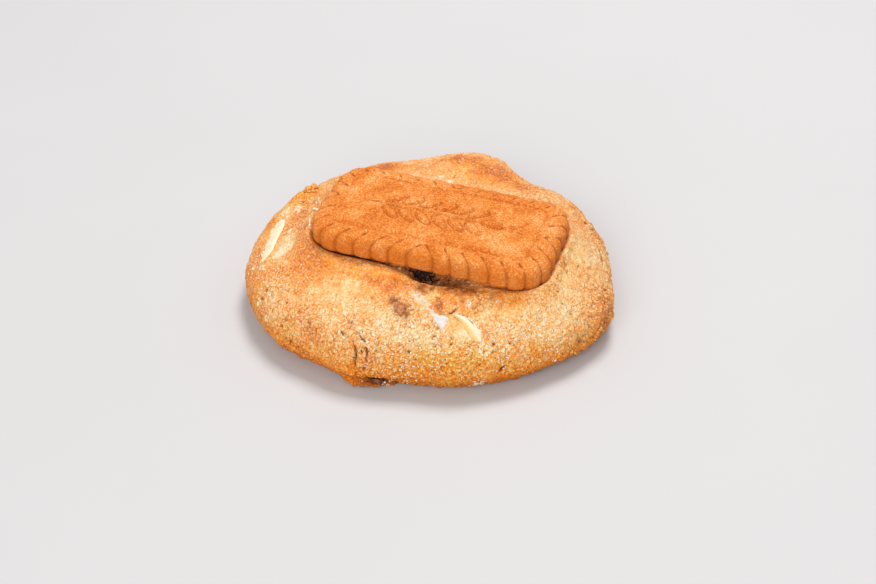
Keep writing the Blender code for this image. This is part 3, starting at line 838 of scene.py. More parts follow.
def build_chunk(skin, name, material):
    """A waxy lump whose top follows the dough's curve, a little proud in its middle, sunk at its edge."""
    middle, along, lift, depth, _, _ = CHUNKS[name]
    pose = facing(middle, along)
    outline, core = chunk_outline(skin, name)
    through = np.linspace(0, 2, len(outline), endpoint=False)
    layers = [(share, lift - (lift + CHUNK_EDGE_SINK) * share**3) for share in CHUNK_TOP_SHARES]
    layers += [*CHUNK_SKIRT, *((share, -down * depth) for share, down in CHUNK_TAPER)]
    points, rings, slits, skinned = [], [], [], []
    for share, height in layers:
        ring = core + (outline - core) * share
        rings.append(np.arange(len(points), len(points) + len(ring)))
        slit = np.zeros(len(ring))
        if name == SLIT_CHUNK and share < 1:
            slit = bell(through - SLIT_PLACE[0], SLIT_SIZE[0]) * bell(share - SLIT_PLACE[1], SLIT_SIZE[1])
        slits += slit.tolist()
        outside = np.where(through > 1, share, -share)
        skinned += (smooth_step(*SKINNED_FROM, outside) * (name == SLIT_CHUNK)).tolist()
        for (x, y), cut in zip(ring, slit):
            hit = skin.below(pose, x, y)
            wobble = sum(rise * noise.noise(hit / size) for rise, size in CHUNK_WOBBLE)
            points.append(hit + pose.to_3x3() @ Vector((0, 0, height + wobble - SLIT_DEPTH * cut)))
    faces = [face[::-1] for face in ring_faces(rings)]
    faces += [rings[0].tolist(), rings[-1][::-1].tolist()]
    return make_piece(name + "_look", points, faces, material, {"slit": slits, "skinned": skinned})


def build_chip(name, middle, along, half_size, seed, material):
    """A worn bit of caramel, knobbly all over."""
    directions, faces = icosphere(CHIP_FINENESS)
    points = directions * half_size
    for number, direction in enumerate(directions):
        knob = 1.0
        for height, pitch, way in CHIP_KNOBS:
            knob += height * noise.noise(Vector(direction) * pitch + Vector(way) * seed)
        points[number] *= knob
    return make_piece(name + "_look", out_of_frame(facing(middle, along), points), faces, material)


# ---- the dough's relief and browning ----


def edge_places(start, end):
    """Places along the biscuit's lower edge, between two distances on the way round."""
    point, outward = edge_path(np.linspace(start, end, EDGE_CREASE_PLACES))
    point = point - outward * EDGE_CREASE_INSET
    return out_of_frame(biscuit_pose(), np.insert(point, 2, -BISCUIT_THICKNESS / 2, axis=1))


def crust_relief(skin, coarse):
    """How far each point of the skin stands out, before anything is cut into it."""
    points = skin.points
    relief = fractal_field(points, *CRUST_GRAIN) + crumble_field(points, *CRUST_CRUMBLE)
    relief *= CRUST_SMOOTHEST + coarse
    relief += fractal_field(points, *CRUST_SWELL) + fractal_field(points, *CRUST_LUMPS)
    rough = graded(points[:, 2], *ROUGH_FOOT)
    for middle, size, strength in ROUGH_PATCHES:
        skin.add(rough, middle, size, strength)
    return relief + rough * crumble_field(points, *ROUGH_CRUMBLE)


def crust_cuts(skin):
    """How deep each point of the skin is in a crack, pit, pore or crease."""
    points = skin.points
    random = np.random.default_rng(11)
    cuts = np.zeros(len(points))
    for half_width, depth, pixels in CRACKS_PX:
        skin.line(cuts, [skin.spot(pixel) for pixel in pixels], half_width, depth)
    skin.paint(skin.mark, cuts, HOLES_PX)
    for _ in range(PIT_COUNT):
        number = random.integers(len(points))
        radius = PIT_RADIUS + PIT_RADIUS_SPREAD * random.random() ** 2
        skin.mark(cuts, points[number], radius, radius * random.uniform(*PIT_DEPTH))
    for start, end, half_width, depth in EDGE_CREASES:
        skin.line(cuts, edge_places(start, end), half_width, depth, wander=EDGE_CREASE_WANDER)
    for middle, half_size, count in PORES_PX:
        for _ in range(count):
            start = np.array(middle) + np.array(half_size) * random.uniform(-1, 1, 2)
            end = start + np.array(PORE_SLANT_PX) * random.uniform(*PORE_LENGTH)
            ends = (skin.spot(start), skin.spot(end))
            skin.line(cuts, ends, random.uniform(*PORE_WIDTH), random.uniform(*PORE_DEPTH))
    middle, half_size, depth = LIP_CAVITY
    aside = np.hypot(points[:, 0] - middle[0], points[:, 1] - middle[1]) / half_size[0]
    cavity = bell(aside, 1.0) * bell((points[:, 2] - middle[2]) / half_size[1], 1.0)
    return np.maximum(cuts, depth * cavity)


def crust_fields(skin):
    """What the crust is like at each point of the skin."""
    points = skin.points
    height = points[:, 2]
    toast = TOAST_LEVEL + fractal_field(points, *TOAST_DRIFT) + fractal_field(points, *TOAST_MOTTLE)
    fields = {
        "toast": toast + graded(height, *TOAST_AT_FOOT),
        "coarse": COARSE_LEVEL + fractal_field(points, *COARSE_DRIFT),
        "gold_and_shade": graded(height, *GOLD_AND_SHADE_AT_FOOT),
        "shade": graded(height, *SHADE_AT_FOOT),
        **{name: np.zeros(len(points)) for name in ("cream", "frost", "stain_and_shadow")},
    }
    # Lines of painted shade along the biscuit's edge.
    for start, end, _, strength in EDGE_CREASES:
        skin.line(fields["shade"], edge_places(start, end), EDGE_SHADE_WIDTH, EDGE_SHADE * strength)
    for put, name, marks in (
        (skin.add, "toast", TOASTED_PX),
        (skin.add, "coarse", COARSE_PX),
        (skin.mark, "cream", CREAM_PX),
        (skin.mark, "frost", FROST_PX),
        (skin.mark, "stain_and_shadow", STAIN_AND_SHADOW_PX),
        (skin.mark, "gold_and_shade", GOLD_AND_SHADE_PX),
        (skin.mark, "shade", SHADE_PX),
    ):
        skin.paint(put, fields[name], marks)
    fields["coarse"] = np.clip(fields["coarse"], 0.0, 1.0)
    fields["cuts"] = crust_cuts(skin)
    return fields


def build_dough(skin, material):
    """The skin with its relief and the sockets of the chunks, closed by a flat underside."""
    fields = crust_fields(skin)
    calm = 1 - smooth_step(*COVERED, skin.cover)
    relief = (crust_relief(skin, fields["coarse"]) - fields["cuts"]) * calm
    wander = fractal_field(skin.points, *SOCKET_WANDER)
    lip, lip_out, lip_width = SOCKET_LIP
    for name in CHUNKS:
        distance = chunk_distance(skin, name) + wander
        relief += lip * bell(distance - lip_out, lip_width) - graded(distance, *SOCKET)
        fields["cream"] = np.maximum(fields["cream"], graded(distance, *SOCKET_CREAM))
    points = skin.points + skin.normals * relief[:, None]
    points[:, 2] = np.maximum(points[:, 2], 0.0)
    rim = rim_of_grid(GRID_SIDE)
    points[rim, 2] = 0.0
    rings, layers, count = [rim], [points], len(points)
    for share in BASE_RING_SHARES:
        layers.append(points[rim] * (share, share, 0.0))
        rings.append(np.arange(count, count + len(rim)))
        count += len(rim)
    layers.append(np.zeros((1, 3)))
    faces = grid_faces(GRID_SIDE) + [face[::-1] for face in ring_faces(rings)]
    faces += [(b, a, count) for a, b in zip(rings[-1].tolist(), np.roll(rings[-1], -1).tolist())]
    base_points = count + 1 - len(points)
    for name, values in list(fields.items()):
        base = np.full(base_points, UNDERSIDE_LEVELS.get(name, 0.0))
        fields[name] = np.concatenate((values, base))
    return make_piece("dough", np.concatenate(layers), faces, material, fields)


# ---- the biscuit ----


def biscuit_half_way():
    straight = 2 * (BISCUIT_LENGTH + BISCUIT_WIDTH - 4 * BISCUIT_CORNER_RADIUS)
    return (straight + 2 * math.pi * BISCUIT_CORNER_RADIUS) / 2


def edge_path(travelled):
    """Points and outward directions after going distances round the rounded rectangle.

    The way round starts at the middle of the front edge and runs towards +X.
    """
    straight_x = BISCUIT_LENGTH / 2 - BISCUIT_CORNER_RADIUS
    straight_y = BISCUIT_WIDTH / 2 - BISCUIT_CORNER_RADIUS
    quarter = math.pi / 2 * BISCUIT_CORNER_RADIUS
    half_way = biscuit_half_way()
    ends = np.cumsum((straight_x, quarter, 2 * straight_y, quarter))
    rest = travelled % half_way
    turned = np.clip(rest - ends[0], 0, quarter) + np.clip(rest - ends[2], 0, quarter)
    bend = turned / BISCUIT_CORNER_RADIUS
    outward = np.stack((np.sin(bend), -np.cos(bend)), axis=-1)
    x = np.clip(rest, 0, straight_x) - np.clip(rest - ends[3], 0, straight_x)
    y = np.clip(rest - ends[1], 0, 2 * straight_y) - straight_y
    flip = np.where(travelled % (2 * half_way) < half_way, 1.0, -1.0)[:, None]
    return (np.stack((x, y), axis=-1) + outward * BISCUIT_CORNER_RADIUS) * flip, outward * flip


def lobe_bulge(travelled):
    """0 in the groove between two lobes and 1 on a lobe's middle. Each long edge has a wide lobe."""
    half_way = biscuit_half_way()
    narrow = (half_way - WIDE_LOBE) / NARROW_LOBES_PER_HALF
    gone = (travelled + WIDE_LOBE / 2) % half_way
    through = np.where(gone < WIDE_LOBE, gone / WIDE_LOBE, ((gone - WIDE_LOBE) / narrow) % 1.0)
    return np.sin(math.pi * through) ** LOBE_POWER


def lean(travelled):
    """How much the ridges lean along the way round: away from each side's middle, and not at corners."""
    rest = travelled % biscuit_half_way()
    near = np.minimum(rest, biscuit_half_way() - rest)
    turned = (near - BISCUIT_LENGTH / 2 + BISCUIT_CORNER_RADIUS) / (math.pi / 2 * BISCUIT_CORNER_RADIUS)
    return np.where(rest > near, -1.0, 1.0) * (1 - 2 * np.clip(turned, 0.0, 1.0))


def groove_depth(travelled, outward, inset):
    """How deep the groove between two ridges is, at a distance in from the edge, with its pressed end."""
    reach = RIDGE_REACH_ON_SIDES + (RIDGE_REACH_ON_ENDS - RIDGE_REACH_ON_SIDES) * np.abs(outward[:, 0])
    run = inset / reach
    valley = 1 - lobe_bulge(travelled + lean(travelled) * RIDGE_SLANT * run)
    depth = LOBE_DEPTH + graded(run, GROOVE_END_DEPTH - LOBE_DEPTH, 0.0, GROOVE_SHALLOW)
    place, width = GROOVE_END
    end = bell(run - place, width) * graded(valley, GROOVE_END_DEPTH, *GROOVE_VALLEY)
    return (depth * valley + end) * smooth_step(*GROOVE_STOP, run)


def ear_relief(x, y):
    """Height of the ear of corn: a stalk, pairs of slanted grains, one at the tip, and its beard."""
    grains = []

    def add_grain(at_x, at_y, turn, size, relief=EAR_RELIEF):
        angle = math.radians(turn)
        along = ((x - at_x) * math.cos(angle) + (y - at_y) * math.sin(angle)) / (size[0] / 2)
        aside = ((y - at_y) * math.cos(angle) - (x - at_x) * math.sin(angle)) / (size[1] / 2)
        reach = along**2 + aside**2
        share, out, width = EAR_MOAT
        moat = share * relief * bell(np.sqrt(reach) - out, width)
        grains.append((relief * np.sqrt(np.maximum(1 - reach, 0.0)), moat))

    length = EAR_GRAIN_SIZE[0]
    for k in range(EAR_GRAIN_PAIRS):
        for side in (-1, 1):
            at_x = EAR_START + k * EAR_GRAIN_PITCH
            add_grain(at_x, side * EAR_GRAIN_OFFSET, side * EAR_GRAIN_ANGLE, EAR_GRAIN_SIZE)
    tip = EAR_START + EAR_GRAIN_PAIRS * EAR_GRAIN_PITCH
    add_grain(tip, 0.0, 0.0, EAR_GRAIN_SIZE)
    add_grain(tip - EAR_STALK_GAP * length - EAR_STALK_SIZE[0] / 2, 0.0, 0.0, EAR_STALK_SIZE)
    for turn in EAR_BEARD_TURNS:
        angle = math.radians(turn)
        half = EAR_BEARD_SIZE[0] / 2
        start = tip + EAR_BEARD_GAP * length
        place = (start + half * math.cos(angle), half * math.sin(angle))
        add_grain(*place, turn, EAR_BEARD_SIZE, EAR_BEARD_RELIEF)
    bodies, moats = np.max(grains, axis=0)
    return np.where(bodies > 0, bodies, -moats)


def build_biscuit(material):
    """Rings round the edge: up the wall, over the rounded rim with its ridges, then in over the face."""
    half = BISCUIT_THICKNESS / 2
    rim_top = half - PANEL_STEP
    spine_reach = (BISCUIT_LENGTH - BISCUIT_WIDTH) / 2
    steps = np.arange(BISCUIT_AROUND) * 2 * biscuit_half_way() / BISCUIT_AROUND
    point, outward = edge_path(steps)
    uneven, size = LOBE_UNEVENNESS
    travelled = steps + uneven * np.array([noise.noise(Vector((*place, 3.0)) / size) for place in point])
    spine = np.stack((np.clip(point[:, 0], -spine_reach, spine_reach), np.zeros(len(point))), axis=-1)
    rings, normals, grooves, walls = [], [], [], []

    def add_ring(place, height, turn, depth, wall):
        """Adds places at a height, moved in by the grooves' depth along a normal that rises by turn."""
        normal = np.concatenate((outward * math.cos(turn), np.full((len(place), 1), math.sin(turn))), axis=1)
        ring = np.concatenate((place, np.broadcast_to(height, len(place))[:, None]), axis=1)
        rings.append(ring - normal * depth[:, None])
        normals.append(normal)
        grooves.append(depth)
        walls.append(np.full(len(place), wall))

    def edge_ring(inset, height, turn, wall):
        depth = groove_depth(travelled, outward, np.full(len(point), max(inset, 0.0)))
        add_ring(point - outward * inset, height, turn, depth, wall)

    for share in UNDERSIDE_SHARES:
        add_ring(point + (spine - point) * share, -half, 0.0, np.zeros(len(point)), 1.0)
    for turn in np.radians(FOOT_TURNS):
        edge_ring(FOOT_FILLET * (1 - math.sin(turn)), -half + FOOT_FILLET * (1 - math.cos(turn)), 0.0, 1.0)
    for height in np.linspace(-half + FOOT_FILLET, rim_top - RIM_HEIGHT, BISCUIT_WALL_RINGS):
        edge_ring(0.0, height, 0.0, 1.0)
    for turn in np.radians(np.linspace(*RIM_TURNS, BISCUIT_RIM_RINGS)):
        inset = RIM_WIDTH * (1 - math.cos(turn) ** (2 / RIM_SQUARENESS))
        drop = RIM_HEIGHT * (1 - math.sin(turn) ** (2 / RIM_SQUARENESS))
        edge_ring(inset, rim_top - drop, turn, math.cos(turn) ** 2)
    rim = point - outward * RIM_WIDTH
    for share in np.linspace(*FACE_SHARES, BISCUIT_FACE_RINGS):
        place = rim + (spine - rim) * share
        inside = inside_edge(place[:, 0], place[:, 1])
        ear = ear_relief(place[:, 0], place[:, 1])
        height = rim_top + graded(inside, PANEL_STEP, PANEL_INSET, PANEL_INSET + PANEL_SLOPE)
        height = height - PANEL_LINE_DEPTH * bell(inside - PANEL_INSET, PANEL_LINE_WIDTH)
        add_ring(place, height + ear, math.pi / 2, groove_depth(travelled, outward, inside), 0.0)
        # The grooves' depth also darkens them with painted shade, and so do the ear's moats and the panel
        # line.
        grooves[-1] = grooves[-1] + MOAT_PAINTED_SHADE * np.maximum(-ear, 0.0)
        grooves[-1] += PANEL_LINE_PAINTED_SHADE * bell(inside - PANEL_INSET, PANEL_LINE_SHADE_WIDTH)

    numbers = np.arange(len(rings) * BISCUIT_AROUND).reshape(len(rings), BISCUIT_AROUND)
    points = np.concatenate(rings)
    grain = fractal_field(points, *BISCUIT_GRAIN) + fractal_field(points, *BISCUIT_SWELL)
    points += np.concatenate(normals) * grain[:, None]
    faces = ring_faces(list(numbers))
    faces += [face[::-1] for face in closing_strip(numbers[0])] + closing_strip(numbers[-1])
    fields = {"groove": np.concatenate(grooves), "wall": np.concatenate(walls)}
    return make_piece("biscuit", out_of_frame(biscuit_pose(), points), faces, material, fields)


# ---- crumbs and sugar ----

CRUMB_PX = (
    *((294, 200), (300, 194), (306, 190), (312, 188), (319, 200)),
    *((474, 303), (480, 304), (487, 302), (564, 252), (560, 264), (553, 278)),
    *((604, 243), (608, 250), (611, 270), (611, 300), (609, 318), (602, 330), (590, 344), (570, 350)),
)
FLECK_PX = ((449, 181), (470, 303), (422, 298), (427, 305), (478, 385), (319, 201), (566, 251))
SUGAR_PX = ((440, 350), (465, 360), (400, 362), (415, 368), (385, 365), (540, 345), (275, 275), (500, 345))
BITS = (
    # (name, slot, places, spread in pixels, count, how far sunk, sizes, fineness, knobbliness, seed)
    ("crumbs", "cookie_crust", CRUMB_PX, 3.5, 230, 0.3, (0.2, 0.6), 2, 0.5, 6),
    ("white_flecks", "white_chocolate", FLECK_PX, 2.2, 66, 0.4, (0.18, 0.4), 2, 0.4, 7),
    ("sugar_grains", "cookie_crust", SUGAR_PX, 13.0, 420, 0.1, (0.14, 0.26), 1, 0.6, 8),
)
SLIVERS_PX = (
    # (from, to, radius in mm) of thin bits of white chocolate that stick out of the crust
    ((314, 208.5), (318, 210), 0.4),
    ((310.0, 219.0), (309.5, 225.5), 0.35),
)
SLIVER_BITS = 8
BIT_STRETCH = (0.6, 1.1)
BIT_KNOB_PITCH = 1.7
# No bit lies where the biscuit covers the dough more than this.
BITS_COVERED = 0.97


def scatter_bits(name, places, sizes, subdivisions, knobbly, material, seed):
    """One mesh of many small irregular bits, each turned its own way."""
    random = np.random.default_rng(seed)
    ball_points, ball_faces = icosphere(subdivisions)
    points, faces = [], []
    for place, size in zip(places, sizes):
        axes = np.linalg.qr(random.normal(size=(3, 3)))[0]
        stretch = size * random.uniform(*BIT_STRETCH, 3)
        shift = Vector(random.uniform(-50, 50, 3))
        knobs = [1 + knobbly * noise.noise(Vector(p) * BIT_KNOB_PITCH + shift) for p in ball_points]
        shape = ball_points * np.array(knobs)[:, None] * stretch @ axes.T
        faces += [[corner + len(points) * len(ball_points) for corner in face] for face in ball_faces]
        points.append(shape + np.array(place))
    return make_piece(name, np.concatenate(points), faces, material, smooth=subdivisions > 1)


def bits_round(skin, pixels, radius, count, sink, sizes, random):
    """Places on the skin round some pixels, a little sunk and clear of the biscuit, and the bits' sizes."""
    places, bit_sizes = [], []
    while len(places) < count:
        pixel = pixels[random.integers(len(pixels))]
        at = np.array(pixel) + random.normal(scale=radius, size=2)
        hit, normal = skin.at_pixel(at)
        if hit is None or skin.cover[skin.tree.find(hit)[1]] > BITS_COVERED:
            continue
        size = random.uniform(*sizes)
        places.append(np.array(hit - normal * size * sink))
        bit_sizes.append(size)
    return places, bit_sizes


def build_bits(skin, materials):
    """The scattered bits, one piece for each kind, and the slivers with the white flecks."""
    random = np.random.default_rng(5)
    for (name, slot, *spread, fineness, knobbly, seed), material in zip(BITS, materials):
        places, sizes = bits_round(skin, *spread, random)
        if name == "white_flecks":
            for start, end, size in SLIVERS_PX:
                places += [skin.spot(at) for at in np.linspace(start, end, SLIVER_BITS)]
                sizes += [size] * SLIVER_BITS
        hand_over(scatter_bits(name, places, sizes, fineness, knobbly, material, seed), slot)


# ---- materials ----

LIGHT_LEVEL = 1.15
GAMMA = 2.2
BRIGHTEST = 0.95
GLOSS_BAND = (0.3, 0.7)
# Sizes in the materials are millimetres, and 8-bit colours are as they look in the scene's light.
GRAIN_NOISE = {"detail": 2.0, "roughness": 0.5}
SPECK_NOISE = {"detail": 2.0, "roughness": 0.6}
CRUST_TONES = (
    # (how toasted, 8-bit colour)
    *((0.0, (255, 238, 206)), (0.25, (254, 216, 160)), (0.45, (250, 190, 118))),
    *((0.62, (248, 160, 76)), (0.8, (236, 136, 54)), (1.0, (204, 108, 46))),
)
# Colours of the deeper gold, which is partly painted shade.
GOLDEN_TONES = (
    *((0.0, (255, 214, 136)), (0.3, (255, 180, 76)), (0.55, (254, 154, 38))),
    *((0.8, (240, 126, 18)), (1.0, (176, 90, 8))),
)
BISCUIT_TONES = (
    *((0.15, (206, 102, 22)), (0.4, (232, 130, 46))),
    *((0.6, (243, 147, 64)), (0.85, (255, 186, 120))),
)
GOLD_AND_SHADE_TINT = (1.0, 0.84, 0.24, 1.0)
# The colour that painted shade multiplies the crust by.
SHADE_TINT = (0.34, 0.2, 0.02, 1.0)


def seen_as(red, green, blue):
    """The surface colour that looks like this 8-bit colour in the scene's light."""
    channels = [(channel / 255) ** GAMMA / LIGHT_LEVEL for channel in (red, green, blue)]
    return (*[min(channel, BRIGHTEST) for channel in channels], 1.0)


class Finish:
    """One material's nodes. A socket's value is a number, a colour or another node's output."""

    def __init__(self, name):
        self.material = bpy.data.materials.new(name)
        self.material.use_nodes = True
        self.tree = self.material.node_tree
        self.shader = self.tree.nodes["Principled BSDF"]
        self.place = self.node("TexCoord", {}).outputs["Object"]
        self.colour = None

    def set(self, node, inputs):
        for socket, value in inputs.items():
            if isinstance(value, bpy.types.NodeSocket):
                self.tree.links.new(value, node.inputs[socket])
            else:
                node.inputs[socket].default_value = value

    def node(self, kind, inputs, **settings):
        made = self.tree.nodes.new("ShaderNode" + kind)
        for setting, value in settings.items():
            setattr(made, setting, value)
        self.set(made, inputs)
        return made

    def texture(self, kind, size, output, inputs=None, **settings):
        """A texture's output, with features of a size in millimetres."""
        inputs = {"Vector": self.place, "Scale": 1 / (size * MM), **(inputs or {})}
        return self.node("Tex" + kind, inputs, **settings).outputs[output]

    def noise(self, size, detail=3.0, roughness=0.55):
        """Noise of 0 to 1."""
        return self.texture("Noise", size, "Fac", {"Detail": detail, "Roughness": roughness})

    def cells(self, size):
        """Distance to the nearest of many random points, 0 to about 1."""
        return self.texture("Voronoi", size, "Distance")

    def cell_walls(self, size):
        """Distance to the wall between a cell and the next, in cell sizes."""
        return self.texture("Voronoi", size, "Distance", feature="DISTANCE_TO_EDGE")

    def field(self, name):
        return self.node("Attribute", {}, attribute_name=name).outputs["Fac"]

    def math(self, operation, first, second):
        return self.node("Math", {0: first, 1: second}, operation=operation).outputs[0]

    def times(self, first, second):
        return self.math("MULTIPLY", first, second)

    def plus(self, first, second):
        return self.math("ADD", first, second)

    def minus(self, first, second):
        return self.math("SUBTRACT", first, second)

    def around(self, value, amount):
        """A 0 to 1 value turned into plus or minus half the amount."""
        return self.times(self.minus(value, 0.5), amount)

    def band(self, value, low, high, low_to=0.0, high_to=1.0):
        inputs = {"Value": value, "From Min": low, "From Max": high, "To Min": low_to, "To Max": high_to}
        return self.node("MapRange", inputs, interpolation_type="SMOOTHSTEP").outputs["Result"]

    def patches(self, size, low, high, low_to=0.0, high_to=1.0, **noise_settings):
        """Soft-edged patches of a size in millimetres."""
        return self.band(self.noise(size, **noise_settings), low, high, low_to, high_to)

    def mix(self, share, first, second):
        made = self.tree.nodes.new("ShaderNodeMix")
        made.data_type = "RGBA"
        self.set(made, {0: share, 6: first, 7: second})
        return made.outputs[2]

    def coat(self, share, *colour):
        """Lays an 8-bit colour over what there is, by a share."""
        self.colour = self.mix(share, self.colour, seen_as(*colour))

    def tint(self, share, tint):
        """Multiplies what there is by a colour, by a share."""
        self.colour = self.mix(share, self.colour, tint)
        self.colour.node.blend_type = "MULTIPLY"

    def ramp(self, value, tones):
        made = self.node("ValToRGB", {"Fac": value})
        elements = made.color_ramp.elements
        while len(elements) < len(tones):
            elements.new(0.5)
        for element, (at, colour) in zip(elements, tones):
            element.position = at
            element.color = seen_as(*colour)
        return made.outputs["Color"]

    def made(self, height, depth, gloss, more=None):
        """The finished material: its colour, its bumps, and a roughness that varies over patches."""
        size, least, most = gloss
        bump = self.node("Bump", {"Height": height, "Distance": depth * MM, "Strength": 1.0})
        rough = self.patches(size, *GLOSS_BAND, least, most)
        inputs = {"Base Color": self.colour, "Normal": bump.outputs["Normal"], "Roughness": rough}
        self.set(self.shader, {**inputs, **(more or {})})
        return self.material


def soft_inside(weight, radius, scale):
    """Shader inputs for light that spreads under the surface; scale in millimetres."""
    return {"Subsurface Weight": weight, "Subsurface Radius": radius, "Subsurface Scale": scale * MM}


def crust_material():
    finish = Finish("golden crust")
    coarse, gold_and_shade, cuts = finish.field("coarse"), finish.field("gold_and_shade"), finish.field("cuts")
    grain = finish.patches(0.6, 0.36, 0.64, **GRAIN_NOISE)
    crumbs = finish.patches(1.15, 0.36, 0.62, **GRAIN_NOISE)
    gaps = finish.times(finish.band(finish.cell_walls(1.3), 0.16, 0.0), crumbs)
    # Paler where the grain and crumbs stand up and browner in the gaps between them, matched to the bumps:
    # partly the crust's own mottling, partly painted light and shade on the grain.
    speckle = finish.plus(finish.around(crumbs, -0.26), finish.around(grain, -0.26))
    speckle = finish.plus(speckle, finish.times(gaps, 0.4))
    speckle = finish.times(speckle, finish.band(coarse, 0.0, 1.0, 0.5, 1.35))
    toast = finish.plus(finish.field("toast"), speckle)
    toast = finish.plus(toast, finish.around(finish.noise(2.6, 2.0), -0.5))
    # A deeper gold, partly painted shade low down and under the biscuit's edge.
    finish.colour = finish.mix(gold_and_shade, finish.ramp(toast, CRUST_TONES), finish.ramp(toast, GOLDEN_TONES))
    fine = finish.times(finish.band(coarse, 0.0, 0.8, 0.4, 1.1), 0.5)
    finish.coat(finish.times(finish.patches(0.55, 0.5, 0.34, **SPECK_NOISE), fine), 200, 124, 50)
    # Painted highlights: pale flecks on the grain.
    light = finish.times(finish.patches(0.5, 0.52, 0.66, **SPECK_NOISE), fine)
    finish.coat(finish.times(light, 1.3), 255, 238, 206)
    finish.tint(gold_and_shade, GOLD_AND_SHADE_TINT)
    cream = finish.times(finish.field("cream"), finish.patches(0.9, 0.38, 0.58))
    finish.coat(finish.band(cream, 0.12, 0.45), 255, 234, 194)
    frost = finish.times(finish.field("frost"), finish.patches(0.8, 0.42, 0.56))
    finish.coat(finish.band(frost, 0.12, 0.7), 238, 220, 198)
    # Painted shade: an olive tint multiplies the colour under the biscuit's edge, along its creases and at
    # the foot.
    finish.tint(finish.times(finish.field("shade"), finish.patches(1.4, 0.3, 0.65, 1.15, 0.65)), SHADE_TINT)
    # Brown specks under the skin, and painted shadow in the hollow under the biscuit's edge, which turns
    # nearly black where it is strongest.
    stain_and_shadow = finish.times(finish.field("stain_and_shadow"), finish.patches(0.7, 0.35, 0.6, 0.5, 1.05))
    finish.coat(finish.band(stain_and_shadow, 0.0, 0.5), 158, 88, 42)
    finish.coat(finish.band(stain_and_shadow, 0.55, 0.85), 40, 19, 7)
    # Pores: small sunk cells, darkened partly with painted shade.
    pores = finish.times(finish.band(finish.cells(1.6), 0.16, 0.08), coarse)
    finish.coat(finish.times(pores, 0.9), 190, 84, 20)
    # Painted shade in the cuts: cracks, pits, pores and the creases under the biscuit turn darker
    # orange-brown, and nearly black where deepest.
    finish.coat(finish.band(cuts, 0.1, 0.6, 0.0, 0.9), 156, 76, 16)
    finish.coat(finish.band(cuts, 0.65, 1.1), 34, 16, 6)
    # Painted glints: tiny near-white specks on the coarser crust.
    finish.coat(finish.times(finish.band(finish.cells(1.3), 0.17, 0.09), coarse), 255, 246, 228)
    height = finish.minus(finish.plus(grain, finish.times(crumbs, 1.4)), gaps)
    height = finish.minus(height, finish.times(pores, 1.5))
    height = finish.times(height, finish.band(coarse, 0.0, 1.0, 0.5, 1.1))
    more = {**soft_inside(0.08, (1.0, 0.5, 0.2), 0.8), "Specular IOR Level": 0.25}
    return finish.made(height, 0.18, (1.6, 0.5, 0.8), more)


def biscuit_material():
    finish = Finish("caramelised biscuit")
    grain = finish.patches(0.45, 0.34, 0.66, **GRAIN_NOISE)
    crumbs = finish.patches(1.0, 0.3, 0.7, **GRAIN_NOISE)
    tone = finish.plus(finish.noise(6.0, 2.0), finish.around(grain, 0.42))
    tone = finish.plus(tone, finish.around(crumbs, 0.16))
    finish.colour = finish.ramp(tone, BISCUIT_TONES)
    # Painted shade in the grooves, the ear's moats and the panel line.
    finish.coat(finish.band(finish.field("groove"), 0.15, 0.6, 0.0, 0.8), 166, 76, 16)
    # The wall and underside are darker: partly painted shade, partly more toasted.
    finish.coat(finish.times(finish.field("wall"), 0.5), 222, 116, 26)
    height = finish.plus(grain, finish.times(crumbs, 0.8))
    return finish.made(height, 0.14, (1.2, 0.6, 0.85), {"Specular IOR Level": 0.3})


def two_toned(name, patch, first, second):
    """A finish of two 8-bit colours in patches; patch is their size and band, or their size alone."""
    finish = Finish(name)
    size, *band = patch
    share = finish.patches(size, *band) if band else finish.noise(size)
    finish.colour = finish.mix(share, seen_as(*first), seen_as(*second))
    return finish


def chocolate_material():
    finish = two_toned("white chocolate", (1.5, 0.35, 0.75), (250, 232, 202), (246, 214, 168))
    skin = finish.plus(finish.field("skinned"), finish.around(finish.noise(0.7), 0.9))
    finish.coat(finish.band(skin, 0.2, 0.9), 250, 198, 128)
    # Painted shade in the slit.
    finish.coat(finish.band(finish.field("slit"), 0.3, 0.6), 160, 90, 30)
    return finish.made(finish.noise(1.0), 0.12, (0.9, 0.32, 0.5), soft_inside(0.3, (1.2, 1.0, 0.7), 1.0))


def frosty_material():
    finish = two_toned("bloomed white chocolate", (1.2, 0.35, 0.75), (226, 218, 214), (212, 200, 196))
    return finish.made(finish.noise(0.7), 0.12, (0.9, 0.35, 0.55), soft_inside(0.3, (1.2, 1.1, 1.0), 1.0))


def caramel_material(name, light, dark):
    finish = two_toned(name, (0.8, 0.3, 0.7), light, dark)
    return finish.made(finish.noise(0.5), 0.25, (0.6, 0.3, 0.6))


def sugar_material():
    finish = two_toned("sugar", (0.6,), (255, 250, 240), (255, 234, 204))
    return finish.made(finish.noise(0.2, 1.0), 0.05, (0.5, 0.15, 0.35))


def crumb_material():
    finish = two_toned("crumb", (1.5, 0.3, 0.7), (248, 196, 120), (226, 142, 62))
    return finish.made(finish.noise(0.3), 0.2, (0.9, 0.6, 0.85))


# ---- floor and light ----

FLOOR_RADIUS = 4000.0
FLOOR_SIDES = 96
FLOOR_TONES = ((0.54, 0.53, 0.535, 1.0), (0.56, 0.55, 0.555, 1.0))
FLOOR_PATCH = 60.0
LIGHTS = (
    # (name, place, size in metres, power in watts)
    ("key", (0.2, 0.4, 0.95), 0.36, 8.2),
    ("fill", (-0.3, -0.9, 0.55), 0.7, 7.4),
)
LIGHT_AIM = (0.0, -0.01, 0.015)
ROOM_COLOUR = (1.0, 0.985, 0.97, 1.0)
ROOM_STRENGTH = 0.54


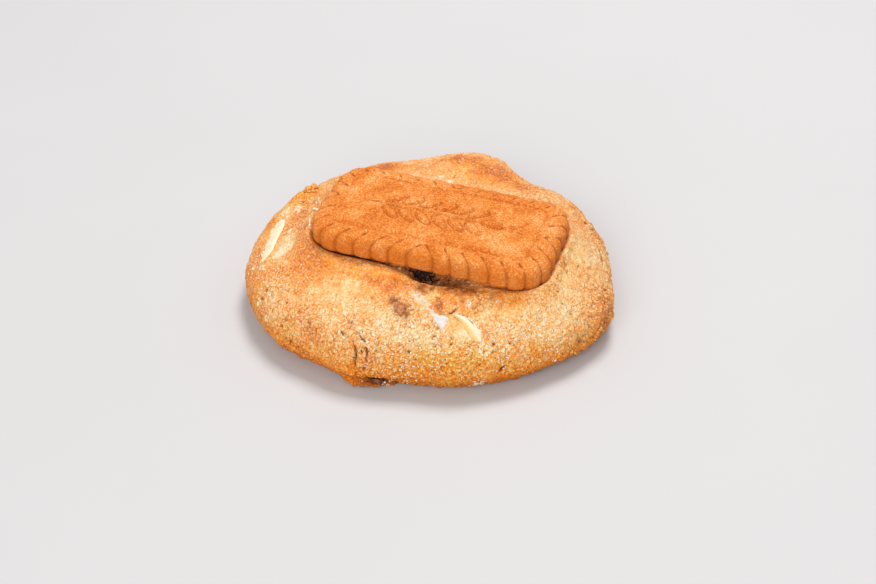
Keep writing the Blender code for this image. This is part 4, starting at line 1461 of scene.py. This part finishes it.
def build_floor():
    finish = Finish("pale floor")
    colour = finish.mix(finish.noise(FLOOR_PATCH, 2.0), *FLOOR_TONES)
    finish.set(finish.shader, {"Base Color": colour, "Roughness": 0.6, "Specular IOR Level": 0.2})
    turns = np.linspace(0, 2 * math.pi, FLOOR_SIDES, endpoint=False)
    points = np.stack((np.cos(turns), np.sin(turns), np.zeros(FLOOR_SIDES)), axis=-1) * FLOOR_RADIUS
    make_piece("floor", points, [list(range(FLOOR_SIDES))], finish.material, smooth=False)


def add_light(name, place, size, power):
    """A soft square light that looks at the cookie; place and aim in metres."""
    data = bpy.data.lights.new(name, "AREA")
    data.size = size
    data.energy = power
    light = bpy.data.objects.new(name, data)
    aim = Vector(LIGHT_AIM) - Vector(place)
    light.matrix_world = Matrix.Translation(place) @ aim.to_track_quat("-Z", "Y").to_matrix().to_4x4()
    bpy.context.scene.collection.objects.link(light)


def light_scene():
    for light in LIGHTS:
        add_light(*light)
    world = bpy.data.worlds.new("pale room")
    world.use_nodes = True
    background = world.node_tree.nodes["Background"]
    background.inputs["Color"].default_value = ROOM_COLOUR
    background.inputs["Strength"].default_value = ROOM_STRENGTH
    bpy.context.scene.world = world
    bpy.context.scene.view_settings.view_transform = "Standard"


def main():
    # Without a seed of its own, Blender takes one from the clock, and noise_vector differs each run.
    noise.seed_set(LINE_WANDER_SEED)
    make_camera()
    skin = Skin()
    hand_over(build_dough(skin, crust_material()), "cookie_crust", "cookie")
    hand_over(build_biscuit(biscuit_material()), "biscuit_crust", "speculoos_biscuit")
    chocolate = chocolate_material()
    for name, material in zip(CHUNKS, (chocolate, chocolate, frosty_material())):
        hand_over(build_chunk(skin, name, material), "white_chocolate", name)
    pale = caramel_material("caramel under skin", (208, 138, 86), (160, 94, 52))
    dark = caramel_material("dark caramel", (136, 74, 40), (64, 32, 18))
    for (name, *shape), material in zip(CHIPS, (pale, dark)):
        hand_over(build_chip(name, *shape, material), "caramel", name)
    build_bits(skin, (crumb_material(), chocolate, sugar_material()))
    build_floor()
    light_scene()


main()
